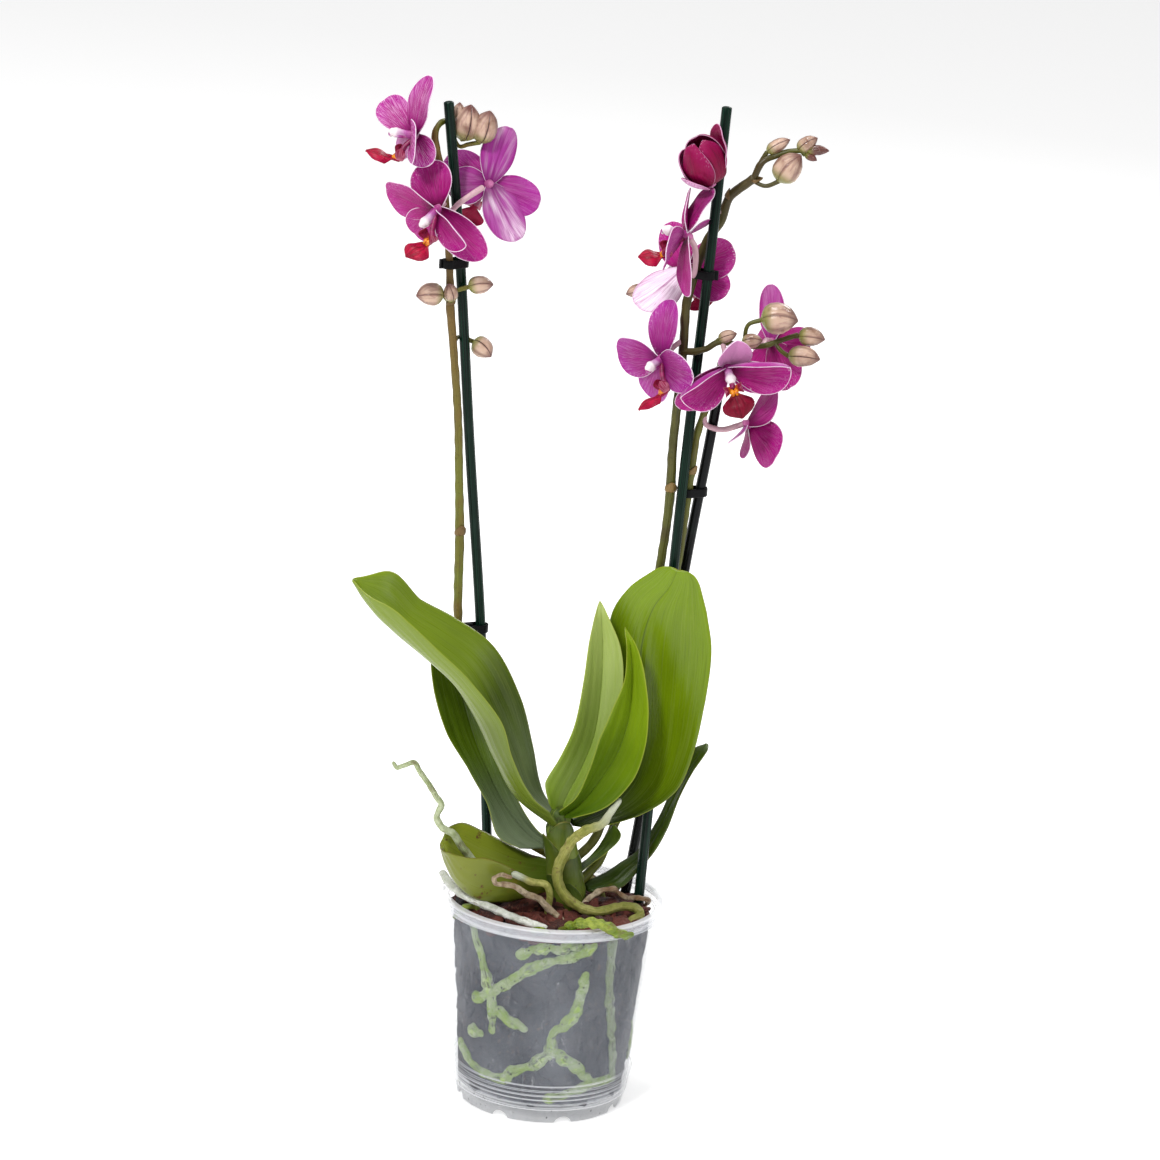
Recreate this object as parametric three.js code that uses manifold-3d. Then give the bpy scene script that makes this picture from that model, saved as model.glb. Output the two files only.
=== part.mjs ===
// Moth orchid in a clear nursery pot: bark, roots, eight leaves, and three flower spikes
// clipped to three stakes. Millimetres, +Z up. The origin is the centre of the pot's foot,
// on the surface that the pot stands on; the front of the plant looks along -Y.

import * as THREE from 'three';
import { mergeVertices } from 'three/addons/utils/BufferGeometryUtils.js';
import Module from 'manifold-3d';

const wasm = await Module();
wasm.setup();

// ---------------------------------------------------------------- driving sizes

const GAP = 0.3; // clearance between pieces that touch

const POT_HEIGHT = 113.2;
const POT_WALL = 1.2;
const RIM_RADIUS = 60;
const RIM_BAND = 6;
const WALL_TOP_RADIUS = 56; // outer face of the wall, just under the rim
const WALL_LOW_RADIUS = 48.2; // outer face of the wall, above the top ring rib
const WALL_LOW_Z = 19.8;
const WALL_TOP_Z = 106;
const FLOOR_Z = 8.2;
const CENTRE_FOOT_RADIUS = 26;
const POT_SIDES = 24;
const ARCH_COUNT = 8;
const ARCH_RADIUS = 5;
const ARCH_DROP = 1.6; // how far below the foot the arches are centred
const ARCH_START = -27; // degrees from the front, toward +X
const DRAIN_RADIUS = 3;
const DRAIN_CIRCLE = 38.5;

const BARK_TOP = 104.2;
const BARK_MOUND = 3.4;
const CHIP_COUNT = 8;
const CHIP_SEED = 11;

const STEM_TIP_RADIUS = 1.8;
const STEM_ROOT_RADIUS = 2.7;
const STURDY_STEM_RADIUS = 2.4; // the middle spike's, all along
const JOINT_SWELL = 0.6;
const BRANCH_RADIUS = 1.6;
const PEDICEL_RADIUS = 1.5;
const STAKE_RADIUS = 2.7;
const CLIP_WIDTH = 8.4;
const CLIP_HEIGHT = 4.6;
const TAB_THICKNESS = 2.6;
const TAB_HEIGHT = 5;
const WALL_ROOT_WIDTH = 5.8;
const WALL_ROOT_DEPTH = 2.6;

const LEAF_EDGE = 1.1; // blade thickness at the edge and at the midrib
const LEAF_RIB = 2.4;
const TEPAL_THICKNESS = 0.8;
const LIP_THICKNESS = 0.9;
const SEPAL_WIDTH = 20;
const PETAL_WIDTH = 23.5;
const COLUMN_RADIUS = 2.9;

const WHITE = 0xf2eef0;
const MAGENTA = 0xb32a8e;
const CRIMSON = 0xb8183f;
const LEAF_GREEN = 0x55801c;
const STEM_GREEN = 0x8a8c34;
const ROOT_PALE = 0xb4c09c;
const ROOT_GREEN = 0x7fa02c;
const ROOT_DRY = 0x8a6a4a;
const STAKE_GREEN = 0x1d3d2c;
const BLACK = 0x17191a;
const BARK = 0x5a2f22;

// ---------------------------------------------------------------- small maths

const vector = (p) => new THREE.Vector3(p[0], p[1], p[2]);
const plus = (p, q) => [p[0] + q[0], p[1] + q[1], p[2] + q[2]];
const scaled = (p, k) => [p[0] * k, p[1] * k, p[2] * k];
const mix = (a, b, t) => a + (b - a) * t;
const unit = (v) => v.clone().normalize();

function randomFrom(seed) {
  let state = seed;
  return () => {
    state = (state * 1664525 + 1013904223) % 4294967296;
    return state / 4294967296;
  };
}

function curveThrough(points) {
  return new THREE.CatmullRomCurve3(points.map(vector), false, 'centripetal');
}

// A value given per control point, read at t from 0 to 1 along the curve.
function valueAt(values, t) {
  if (typeof values === 'number') return values;
  const place = t * (values.length - 1);
  const low = Math.min(Math.floor(place), values.length - 2);
  return mix(values[low], values[low + 1], place - low);
}

// The part of v that is square to the unit vector axis.
function squareTo(v, axis) {
  return unit(v.clone().addScaledVector(axis, -v.dot(axis)));
}

// ---------------------------------------------------------------- closed solids

function signedVolume(points, index) {
  const at = (k) => new THREE.Vector3().fromArray(points, index[k] * 3);
  let volume = 0;
  for (let k = 0; k < index.length; k += 3) volume += at(k).dot(at(k + 1).cross(at(k + 2)));
  return volume;
}

// A solid from any closed geometry, whichever way its faces are wound.
function solid(geometry) {
  const bare = geometry.clone();
  bare.deleteAttribute('normal');
  bare.deleteAttribute('uv');
  const merged = mergeVertices(bare, 1e-4);
  const points = merged.attributes.position.array;
  const index = [];
  for (let k = 0; k < merged.index.count; k += 3) {
    const face = [0, 1, 2].map((n) => merged.index.getX(k + n));
    if (new Set(face).size === 3) index.push(...face);
  }
  if (signedVolume(points, index) < 0) index.reverse();
  return new wasm.Manifold(new wasm.Mesh({
    numProp: 3,
    vertProperties: new Float32Array(points),
    triVerts: new Uint32Array(index),
  }));
}

function solidFrom(points, faces) {
  const geometry = new THREE.BufferGeometry();
  const flat = points.flatMap((p) => p.toArray());
  geometry.setAttribute('position', new THREE.Float32BufferAttribute(flat, 3));
  geometry.setIndex(faces.flat());
  return solid(geometry);
}

const joined = (solids) => solids.reduce((whole, next) => whole.add(next));

function placed(geometry, position, rotation = [0, 0, 0]) {
  const turned = geometry.clone();
  const euler = new THREE.Euler(...rotation.map(THREE.MathUtils.degToRad));
  turned.applyMatrix4(new THREE.Matrix4().makeRotationFromEuler(euler));
  turned.translate(...position);
  return solid(turned);
}

function largestPiece(body) {
  return body.decompose().reduce((best, piece) => (piece.volume() > best.volume() ? piece : best));
}

function boxesMeet(a, b) {
  const first = a.boundingBox();
  const second = b.boundingBox();
  return [0, 1, 2].every((k) => first.min[k] < second.max[k] && second.min[k] < first.max[k]);
}

// Rings of equal count joined into a skin, with a point that closes each end.
function skinned(rings, startTip, endTip) {
  const sides = rings[0].length;
  const points = [...rings.flat(), startTip, endTip];
  const start = points.length - 2;
  const end = points.length - 1;
  const last = (rings.length - 1) * sides;
  const faces = [];
  for (let s = 0; s < sides; s += 1) {
    const next = (s + 1) % sides;
    faces.push([start, next, s], [end, last + s, last + next]);
    for (let r = 0; r < last; r += sides) {
      faces.push([r + s, r + next, r + sides + next], [r + s, r + sides + next, r + sides + s]);
    }
  }
  return solidFrom(points, faces);
}

function ringAt(centre, across, other, wide, deep, sides) {
  return Array.from({ length: sides }, (_, k) => {
    const angle = (2 * Math.PI * k) / sides;
    return centre.clone()
      .addScaledVector(across, Math.cos(angle) * wide)
      .addScaledVector(other, Math.sin(angle) * deep);
  });
}

// A round bar along a curve, with a radius per control point and slightly domed ends. A squashed
// bar is thin toward `away`, a function of the place along it.
function tube(points, radii, { sides = 6, grow = 0, squash = 1, away = null } = {}) {
  const curve = curveThrough(points);
  const count = points.length - 1;
  const rings = [];
  let guide = null;
  for (let i = 0; i <= count; i += 1) {
    const t = i / count;
    const centre = curve.getPoint(t);
    const along = unit(curve.getTangent(t));
    const start = away ? away(centre) : new THREE.Vector3(0.1, 0.05, 1);
    if (away || !guide) guide = along.clone().cross(start);
    const across = squareTo(guide, along);
    guide = across;
    const other = along.clone().cross(across);
    const radius = valueAt(radii, t);
    rings.push(ringAt(centre, across, other, radius + grow, radius * squash + grow, sides));
  }
  const endTip = (t, sign) => curve.getPoint(t)
    .addScaledVector(unit(curve.getTangent(t)), sign * (0.4 * valueAt(radii, t) + grow));
  return skinned(rings, endTip(0, -1), endTip(1, 1));
}

// A flower stalk that swells into a closed pointed bud at its end.
function stalk(path, tip, width, grow) {
  const base = path[path.length - 1];
  const reach = plus(tip, scaled(base, -1));
  const swell = [[0.22, 0.94], [0.6, 0.92], [0.94, 0.24]];
  const points = [...path, ...swell.map(([t]) => plus(base, scaled(reach, t)))];
  const radii = [...path.map(() => PEDICEL_RADIUS), ...swell.map(([, share]) => (share * width) / 2)];
  return tube(points, radii, { grow, sides: 5 });
}

// ---------------------------------------------------------------- blades

function gridNormal(grid, i, j) {
  const row = (k) => grid[Math.min(Math.max(k, 0), grid.length - 1)];
  const column = (k) => Math.min(Math.max(k, 0), grid[0].length - 1);
  const down = row(i + 1)[j].clone().sub(row(i - 1)[j]);
  const over = row(i)[column(j + 1)].clone().sub(row(i)[column(j - 1)]);
  return unit(down.cross(over));
}

// A grid of points given thickness on both sides, with the same triangles on each face.
function blade(grid, thicknessAt, grow = 0) {
  const rows = grid.length;
  const columns = grid[0].length;
  const points = [];
  const side = (i, j, sign) => {
    const lift = sign * (thicknessAt(i / (rows - 1), (2 * j) / (columns - 1) - 1) / 2 + grow);
    const point = grid[i][j].clone().addScaledVector(gridNormal(grid, i, j), lift);
    const inner = grid[Math.min(Math.max(i, 1), rows - 2)][Math.min(Math.max(j, 1), columns - 2)];
    if (grow > 0 && inner !== grid[i][j]) {
      point.addScaledVector(unit(grid[i][j].clone().sub(inner)), grow);
    }
    return point;
  };
  for (const sign of [1, -1]) {
    for (let i = 0; i < rows; i += 1) {
      for (let j = 0; j < columns; j += 1) points.push(side(i, j, sign));
    }
  }
  const front = (i, j) => i * columns + j;
  const back = (i, j) => rows * columns + i * columns + j;
  const faces = [];
  for (let i = 0; i + 1 < rows; i += 1) {
    for (let j = 0; j + 1 < columns; j += 1) {
      faces.push([front(i, j), front(i + 1, j), front(i + 1, j + 1)]);
      faces.push([front(i, j), front(i + 1, j + 1), front(i, j + 1)]);
      faces.push([back(i, j), back(i + 1, j + 1), back(i + 1, j)]);
      faces.push([back(i, j), back(i, j + 1), back(i + 1, j + 1)]);
    }
  }
  const strip = (a, b) => {
    faces.push([front(...a), front(...b), back(...b)]);
    faces.push([front(...a), back(...b), back(...a)]);
  };
  for (let i = 0; i + 1 < rows; i += 1) {
    strip([i + 1, 0], [i, 0]);
    strip([i, columns - 1], [i + 1, columns - 1]);
  }
  for (let j = 0; j + 1 < columns; j += 1) {
    strip([0, j], [0, j + 1]);
    strip([rows - 1, j + 1], [rows - 1, j]);
  }
  return solidFrom(points, faces);
}

// A leaf from rows of [left edge, midrib, right edge], tip first.
function leaf(rows, grow) {
  const [left, rib, right] = [0, 1, 2].map((k) => curveThrough(rows.map((row) => row[k])));
  const count = rows.length - 1;
  const grid = [];
  for (let i = 0; i <= count; i += 1) {
    const t = i / count;
    const from = left.getPoint(t);
    const middle = rib.getPoint(t);
    const to = right.getPoint(t);
    const half = to.clone().sub(from).multiplyScalar(0.5);
    const sag = from.clone().add(to).multiplyScalar(0.5).sub(middle);
    grid.push([-1, -0.55, 0, 0.55, 1].map((u) => middle.clone()
      .addScaledVector(half, u)
      .addScaledVector(sag, Math.abs(u) ** 1.3)));
  }
  return blade(grid, (t, u) => mix(LEAF_RIB, LEAF_EDGE, Math.min(1, Math.abs(u) * 1.4)), grow);
}

// A petal or sepal from a centre along a vector, facing the side that `face` points to.
// The width is a share of the full width per row; the blade arches and cups toward the face.
const TEPAL_ROWS = [[0.02, 0.12], [0.4, 0.92], [0.76, 0.9], [1, 0.36]];

function tepal(centre, reach, face, width, { arch = 0.05, cup = 0.1, grow = 0 } = {}) {
  const axis = vector(reach);
  const along = unit(axis);
  const normal = squareTo(vector(face), along);
  const across = along.clone().cross(normal);
  const grid = TEPAL_ROWS.map(([t, share]) => {
    const middle = vector(centre)
      .addScaledVector(axis, t)
      .addScaledVector(normal, Math.sin(Math.PI * t) * arch * axis.length());
    return [-1, 0, 1].map((u) => middle.clone()
      .addScaledVector(across, (u * share * width) / 2)
      .addScaledVector(normal, u * u * share * cup * width));
  });
  return blade(grid, () => TEPAL_THICKNESS, grow);
}

// ---------------------------------------------------------------- pot and bark

function wallInside(z) {
  const rise = (z - WALL_LOW_Z) / (WALL_TOP_Z - WALL_LOW_Z);
  return mix(WALL_LOW_RADIUS, WALL_TOP_RADIUS, rise) - POT_WALL;
}

// The facets of the wall lie this much nearer the axis than its corners.
const FACET = Math.cos(Math.PI / POT_SIDES);

function turned(profile) {
  const lathe = new THREE.LatheGeometry(profile.map(([r, z]) => new THREE.Vector2(r, z)), POT_SIDES);
  return placed(lathe, [0, 0, 0], [90, 0, 0]);
}

function potShell(g) {
  const inner = (z) => wallInside(z) - g;
  const ribs = [
    [46.1, 7.4], [47, 8.2], [46.6, 9.4], [47.8, 12.6], [47.3, 14], [48.6, 18.4],
  ];
  const under = POT_HEIGHT - POT_WALL - g; // underside of the rim's flat top
  const floor = FLOOR_Z + POT_WALL + g;
  return turned([
    [0, -g], [CENTRE_FOOT_RADIUS + g, -g], [CENTRE_FOOT_RADIUS + 6 + g, FLOOR_Z - g],
    [45.2 - g, FLOOR_Z - g], [42.8 - g, -g], [44.4 + g, -g], ...ribs.map(([r, z]) => [r + g, z]),
    [WALL_LOW_RADIUS + g, WALL_LOW_Z + g], [WALL_TOP_RADIUS + g, WALL_TOP_Z],
    [WALL_TOP_RADIUS + 0.3 + g, under], [RIM_RADIUS - POT_WALL - g, under],
    [RIM_RADIUS - POT_WALL - g, POT_HEIGHT - RIM_BAND - g], [RIM_RADIUS + g, POT_HEIGHT - RIM_BAND - g],
    [RIM_RADIUS + g, POT_HEIGHT - 1], [RIM_RADIUS - 1, POT_HEIGHT + g],
    [inner(WALL_TOP_Z) + 0.6, POT_HEIGHT + g], [inner(WALL_LOW_Z), WALL_LOW_Z], [inner(9.4), floor],
    [CENTRE_FOOT_RADIUS + 5.4 - g, floor], [CENTRE_FOOT_RADIUS - 0.7 - g, POT_WALL + g], [0, POT_WALL + g],
  ]);
}

function radialTool(radius, angle, distance, length) {
  const tool = new THREE.CylinderGeometry(radius, radius, length, 8);
  const x = Math.sin(angle) * distance;
  const y = -Math.cos(angle) * distance;
  return placed(tool, [x, y, -ARCH_DROP], [0, 0, THREE.MathUtils.radToDeg(angle)]);
}

function drainHole(angle) {
  const drain = new THREE.CylinderGeometry(DRAIN_RADIUS, DRAIN_RADIUS, 8, 6);
  const centre = [Math.sin(angle) * DRAIN_CIRCLE, -Math.cos(angle) * DRAIN_CIRCLE, FLOOR_Z];
  return placed(drain, centre, [90, 0, 0]);
}

function pot(grow) {
  const shell = potShell(grow);
  if (grow > 0) return shell;
  const step = (2 * Math.PI) / ARCH_COUNT;
  const start = THREE.MathUtils.degToRad(ARCH_START);
  const cuts = Array.from({ length: ARCH_COUNT }, (_, k) => {
    return radialTool(ARCH_RADIUS, start + k * step, 43, 14).add(drainHole(start + (k + 0.5) * step));
  });
  return shell.subtract(joined(cuts));
}

// One bark chip: a rough slab with jittered corners, lying loosely on the mound.
function chip(random, centre, size, turn) {
  const shape = new THREE.BoxGeometry(...size);
  const merged = mergeVertices(withoutNormals(shape), 1e-4);
  const place = merged.attributes.position;
  for (let k = 0; k < place.count; k += 1) {
    const swell = 0.78 + 0.4 * random();
    place.setXYZ(k, place.getX(k) * swell, place.getY(k) * swell, place.getZ(k) * swell);
  }
  return placed(merged, centre, turn);
}

function withoutNormals(geometry) {
  geometry.deleteAttribute('normal');
  geometry.deleteAttribute('uv');
  return geometry;
}

function barkHeight(radius) {
  return BARK_TOP + BARK_MOUND * (1 - (radius / 55) ** 2);
}

function bark() {
  const inner = (z) => wallInside(z) * FACET - 2 * GAP - WALL_ROOT_DEPTH;
  const floor = FLOOR_Z + POT_WALL + GAP + 0.05;
  const base = turned([
    [0, POT_WALL + GAP + 0.05], [CENTRE_FOOT_RADIUS - 1.4, POT_WALL + GAP + 0.05],
    [CENTRE_FOOT_RADIUS + 4.6, floor], [inner(9.7), floor], [inner(WALL_LOW_Z), WALL_LOW_Z],
    [inner(BARK_TOP), BARK_TOP - 0.6], [30, barkHeight(30)], [0, barkHeight(0)],
  ]);
  const random = randomFrom(CHIP_SEED);
  const chips = Array.from({ length: CHIP_COUNT }, (_, k) => {
    const radius = 50 * Math.sqrt((k + 0.6) / CHIP_COUNT);
    const angle = k * 2.39996 + 0.3 * random();
    const size = [10 + 8 * random(), 6 + 4 * random(), 4.5 + 2.5 * random()];
    const centre = [radius * Math.sin(angle), -radius * Math.cos(angle), barkHeight(radius) + 0.6];
    return chip(random, centre, size, [18 * random() - 9, 18 * random() - 9, 180 * random()]);
  });
  const large = [
    [[-12, -14, 108.5], [28, 15, 8], 10], [[-25, -8, 108.5], [17, 10, 7], 60],
    [[-47, 4, 105.8], [13, 8, 6], 80], [[47, -2, 106], [14, 9, 6], -60],
  ].map(([centre, size, spin]) => chip(random, centre, size, [8, -6, spin]));
  return joined([base, ...chips, ...large]);
}

// ---------------------------------------------------------------- stakes, crown and spikes

const STAKES = {
  stake_left: [
    [-81.5, 30, 528.5], [-72, 31, 457], [-59.5, 32, 345], [-47.5, 32, 244], [-38, 31, 138.5], [-33, 30, 84],
  ],
  stake_tall: [
    [61.5, 34, 535], [58.5, 29, 456], [54.5, 24, 371.5], [51.5, 18, 293], [47.5, 9, 160], [45, 5, 84],
  ],
  stake_short: [[69.5, 33, 396], [65.5, 32, 356.5], [59, 31, 300.5], [43.5, 25, 149.5], [36, 23, 84]],
};

const CROWN = [[8, 0, 99], [7, 0, 115.5], [4, -2, 133], [1, -5, 149], [0.5, -6, 161]];
const CROWN_RADII = [10.5, 10.5, 9.5, 8.5, 6];

// Each spike: its main stem from tip to root, side branches, stalks of the open blooms, closed
// buds on their stalks, and the numbers of the stem points that swell into a joint.
const SPIKES = {
  spray_left: {
    stem: [
      [-86, 27, 504], [-84, 27, 496.5], [-80.5, 26, 481], [-75.5, 25.5, 440], [-74.5, 26, 424.5],
      [-71.5, 26, 402], [-66.5, 26, 362], [-64, 26, 329], [-62, 26, 301], [-60, 26, 253.5],
      [-55.5, 26, 219.5], [-47, 25, 187], [-34, 21, 155.5], [-19.5, 15, 139.5], [-3, 8, 132],
    ],
    branches: [[[-86, 27, 504], [-87.5, 27.5, 512], [-85.5, 31, 517], [-81, 37, 517.5], [-75.5, 38, 515]]],
    stalks: [
      [[-86, 27, 504], [-89.5, 25, 506], [-94, 21, 510.5]],
      [[-78, 26, 467], [-77, 25, 472], [-72, 25, 478], [-66.5, 27.5, 482], [-61.5, 31.5, 485]],
      [[-80, 26, 477], [-82.5, 20, 476], [-84.5, 15.5, 477]],
    ],
    buds: [
      { path: [[-81, 37, 517], [-77, 37, 518]], tip: [-76, 36, 528], width: 6.5 },
      { path: [[-75.5, 38, 514], [-73.5, 37, 508]], tip: [-69.5, 34, 526.5], width: 12.5 },
      {
        path: [[-81, 37, 516], [-75, 38.5, 504.5], [-70.5, 37, 506], [-64.5, 37, 507.5]],
        tip: [-60, 34, 524.5],
        width: 12.5,
      },
      { path: [[-74.5, 26, 424], [-78, 22, 429]], tip: [-92, 18, 428.5], width: 12 },
      { path: [[-74.7, 26, 425], [-73.7, 23, 426]], tip: [-75.5, 18, 436], width: 7.5 },
      {
        path: [[-74.5, 26, 424.5], [-72, 23, 431], [-65.5, 25, 433.5]],
        tip: [-52.5, 26, 435.5],
        width: 9.5,
      },
      { path: [[-71.5, 26, 402], [-69, 34, 404.5], [-61.5, 37, 402]], tip: [-51.5, 34, 395], width: 11 },
    ],
    joints: [4, 8],
  },
  spray_middle: {
    radii: [STURDY_STEM_RADIUS, STURDY_STEM_RADIUS],
    stem: [
      [78, 37, 498.5], [66.5, 38.5, 487.5], [63, 38.5, 475], [57, 37.5, 465], [53, 34, 453.5],
      [50.5, 29, 445], [48, 24, 433], [48, 22.5, 410.5], [47, 24, 374.5],
      [46.5, 25, 354], [47, 26, 332.5], [46.5, 27, 315.5], [44.5, 28.5, 290], [42, 28.5, 268.5],
      [39, 27, 243.5], [34, 24, 210.5], [29.5, 20, 178], [25, 16, 153.5], [19, 12, 139], [9, 8, 129],
    ],
    branches: [
      [[78, 37, 498.5], [82, 37, 507.5], [88.5, 38, 511], [96, 38, 514], [104, 37, 515]],
      [
        [47.8, 22, 408], [54, 19, 409], [60, 17, 411.5], [66, 16, 415.5], [77, 16, 415], [89, 17, 415],
        [98.5, 18, 418.5], [106.5, 19.5, 421.5],
      ],
    ],
    stalks: [
      [[63, 38, 479], [58.5, 38.5, 486], [56, 33, 492.5], [56.3, 27, 496]],
      [[50.5, 29, 445], [51.2, 24, 453], [50, 18, 464.5], [47, 15, 469.5]],
      [[50.5, 29, 445], [48.5, 33, 449], [45.2, 37.5, 449]],
      [[47.8, 22.5, 414], [43, 20, 410.5], [39, 16.5, 406.5]],
      [[68, 16, 415.5], [69.5, 12.5, 411], [70.6, 8.8, 406.5]],
      [[89, 17, 415], [90.5, 26, 415.5], [92, 35, 413.8], [93.7, 41, 412]],
    ],
    buds: [
      { path: [[79, 37, 501], [81.5, 38.5, 508], [84, 38.5, 512.5]], tip: [95.5, 39, 520], width: 7 },
      {
        path: [[77, 37, 497.5], [84.5, 35, 495.5], [91, 34, 498.5]],
        tip: [101.5, 33, 513.5],
        width: 14.5,
      },
      { path: [[96, 38, 514], [100, 38, 514.5]], tip: [109.5, 38, 522], width: 8 },
      { path: [[101, 37.5, 515], [104, 37, 515]], tip: [116, 36, 516], width: 5.5 },
      { path: [[101, 37.5, 515], [103.5, 36.5, 513]], tip: [110, 35.5, 510.5], width: 4 },
      { path: [[63, 16.5, 414], [66, 15.5, 417]], tip: [75, 13, 421.5], width: 6.5 },
      { path: [[75, 16, 415], [78, 13.5, 416.5]], tip: [88.5, 11.5, 419], width: 8 },
      { path: [[79, 15.5, 415], [80.5, 13, 426.5], [87, 13, 429.5]], tip: [106, 12, 430.5], width: 16.5 },
      { path: [[104, 19, 420.5], [107, 19, 421]], tip: [121, 19, 420], width: 10 },
      { path: [[95, 17.5, 417], [98.5, 15, 413.5], [102.5, 15, 411]], tip: [119, 12, 411], width: 11 },
      {
        path: [[50.5, 29, 444], [47, 40, 440], [37, 48, 436], [27, 48, 433.5]],
        tip: [16.5, 47, 430.5],
        width: 7.5,
      },
    ],
    joints: [10],
  },
  spray_right: {
    stem: [
      [67.5, 24.5, 400], [65, 27, 384.5], [61.5, 28, 374], [58.5, 28.5, 360.5], [57, 28.5, 342],
      [55.5, 27.5, 318], [54, 26, 297.5], [50.5, 24.5, 261], [45.5, 22.5, 222], [40, 21.5, 189],
      [34, 20.5, 160.5], [27.5, 16.5, 139.7], [22.5, 13, 127.2], [12, 6, 116.5],
    ],
    branches: [],
    stalks: [[[61.5, 28, 374], [63, 27, 368.5], [71.5, 26.5, 366.5], [82, 25.3, 370.5]]],
    buds: [{ path: [[67.3, 24.7, 398], [67.6, 24, 400]], tip: [70, 22, 407], width: 4.4 }],
    joints: [4],
  },
};

function stake(points) {
  return (grow) => tube(points, STAKE_RADIUS, { sides: 8, grow });
}

const crown = (grow) => tube(CROWN, CROWN_RADII, { sides: 8, grow });

function stemRadii({ stem, joints, radii = [STEM_TIP_RADIUS, STEM_ROOT_RADIUS] }) {
  const swell = (k) => (joints.includes(k) ? JOINT_SWELL : 0);
  return stem.map((_, k) => mix(...radii, k / stem.length) + swell(k));
}

function spike(plan) {
  const { stem, branches, stalks, buds } = plan;
  return (grow) => joined([
    tube(stem, stemRadii(plan), { grow, sides: 5 }),
    ...branches.map((points) => tube(points, BRANCH_RADIUS, { grow, sides: 4 })),
    ...stalks.map((points) => tube(points, PEDICEL_RADIUS, { grow, sides: 4 })),
    ...buds.map(({ path, tip, width }) => stalk(path, tip, width, grow)),
  ]);
}

// Spring clip around a stem and its stake, with two finger tabs out to `ends`.
const CLIPS = {
  clip_left_top: {
    stem: [-76, 25.6, 445], stake: [-70.2, 31.1, 445], ends: [[-81, 24, 445], [-66.5, 31, 445]],
  },
  clip_left_low: {
    stem: [-59.3, 26, 248], stake: [-48, 32, 248], ends: [[-55.5, 29, 248], [-44.5, 33, 248]],
  },
  clip_right_top: {
    stem: [51.5, 31, 448], stake: [58.2, 28.6, 448], ends: [[42, 31, 448.5], [63.5, 28, 448]],
  },
  clip_right_low: {
    stem: [56.1, 28, 331], stake: [62.4, 31.6, 331], ends: [[53, 27, 331], [66, 33, 331]],
  },
};

function bar(from, to, thickness, height) {
  const length = Math.hypot(to[0] - from[0], to[1] - from[1]);
  const turn = THREE.MathUtils.radToDeg(Math.atan2(to[1] - from[1], to[0] - from[0]));
  return placed(new THREE.BoxGeometry(length, thickness, height), scaled(plus(from, to), 0.5), [0, 0, turn]);
}

function clip({ stem, stake: pole, ends }) {
  const reach = unit(vector(pole).sub(vector(stem))).toArray();
  const from = plus(stem, scaled(reach, -3.9));
  const to = plus(pole, scaled(reach, 4.5));
  return (grow) => bar(from, to, CLIP_WIDTH + grow, CLIP_HEIGHT + grow)
    .add(bar(...ends, TAB_THICKNESS + grow, TAB_HEIGHT + grow));
}

// ---------------------------------------------------------------- leaves

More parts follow.
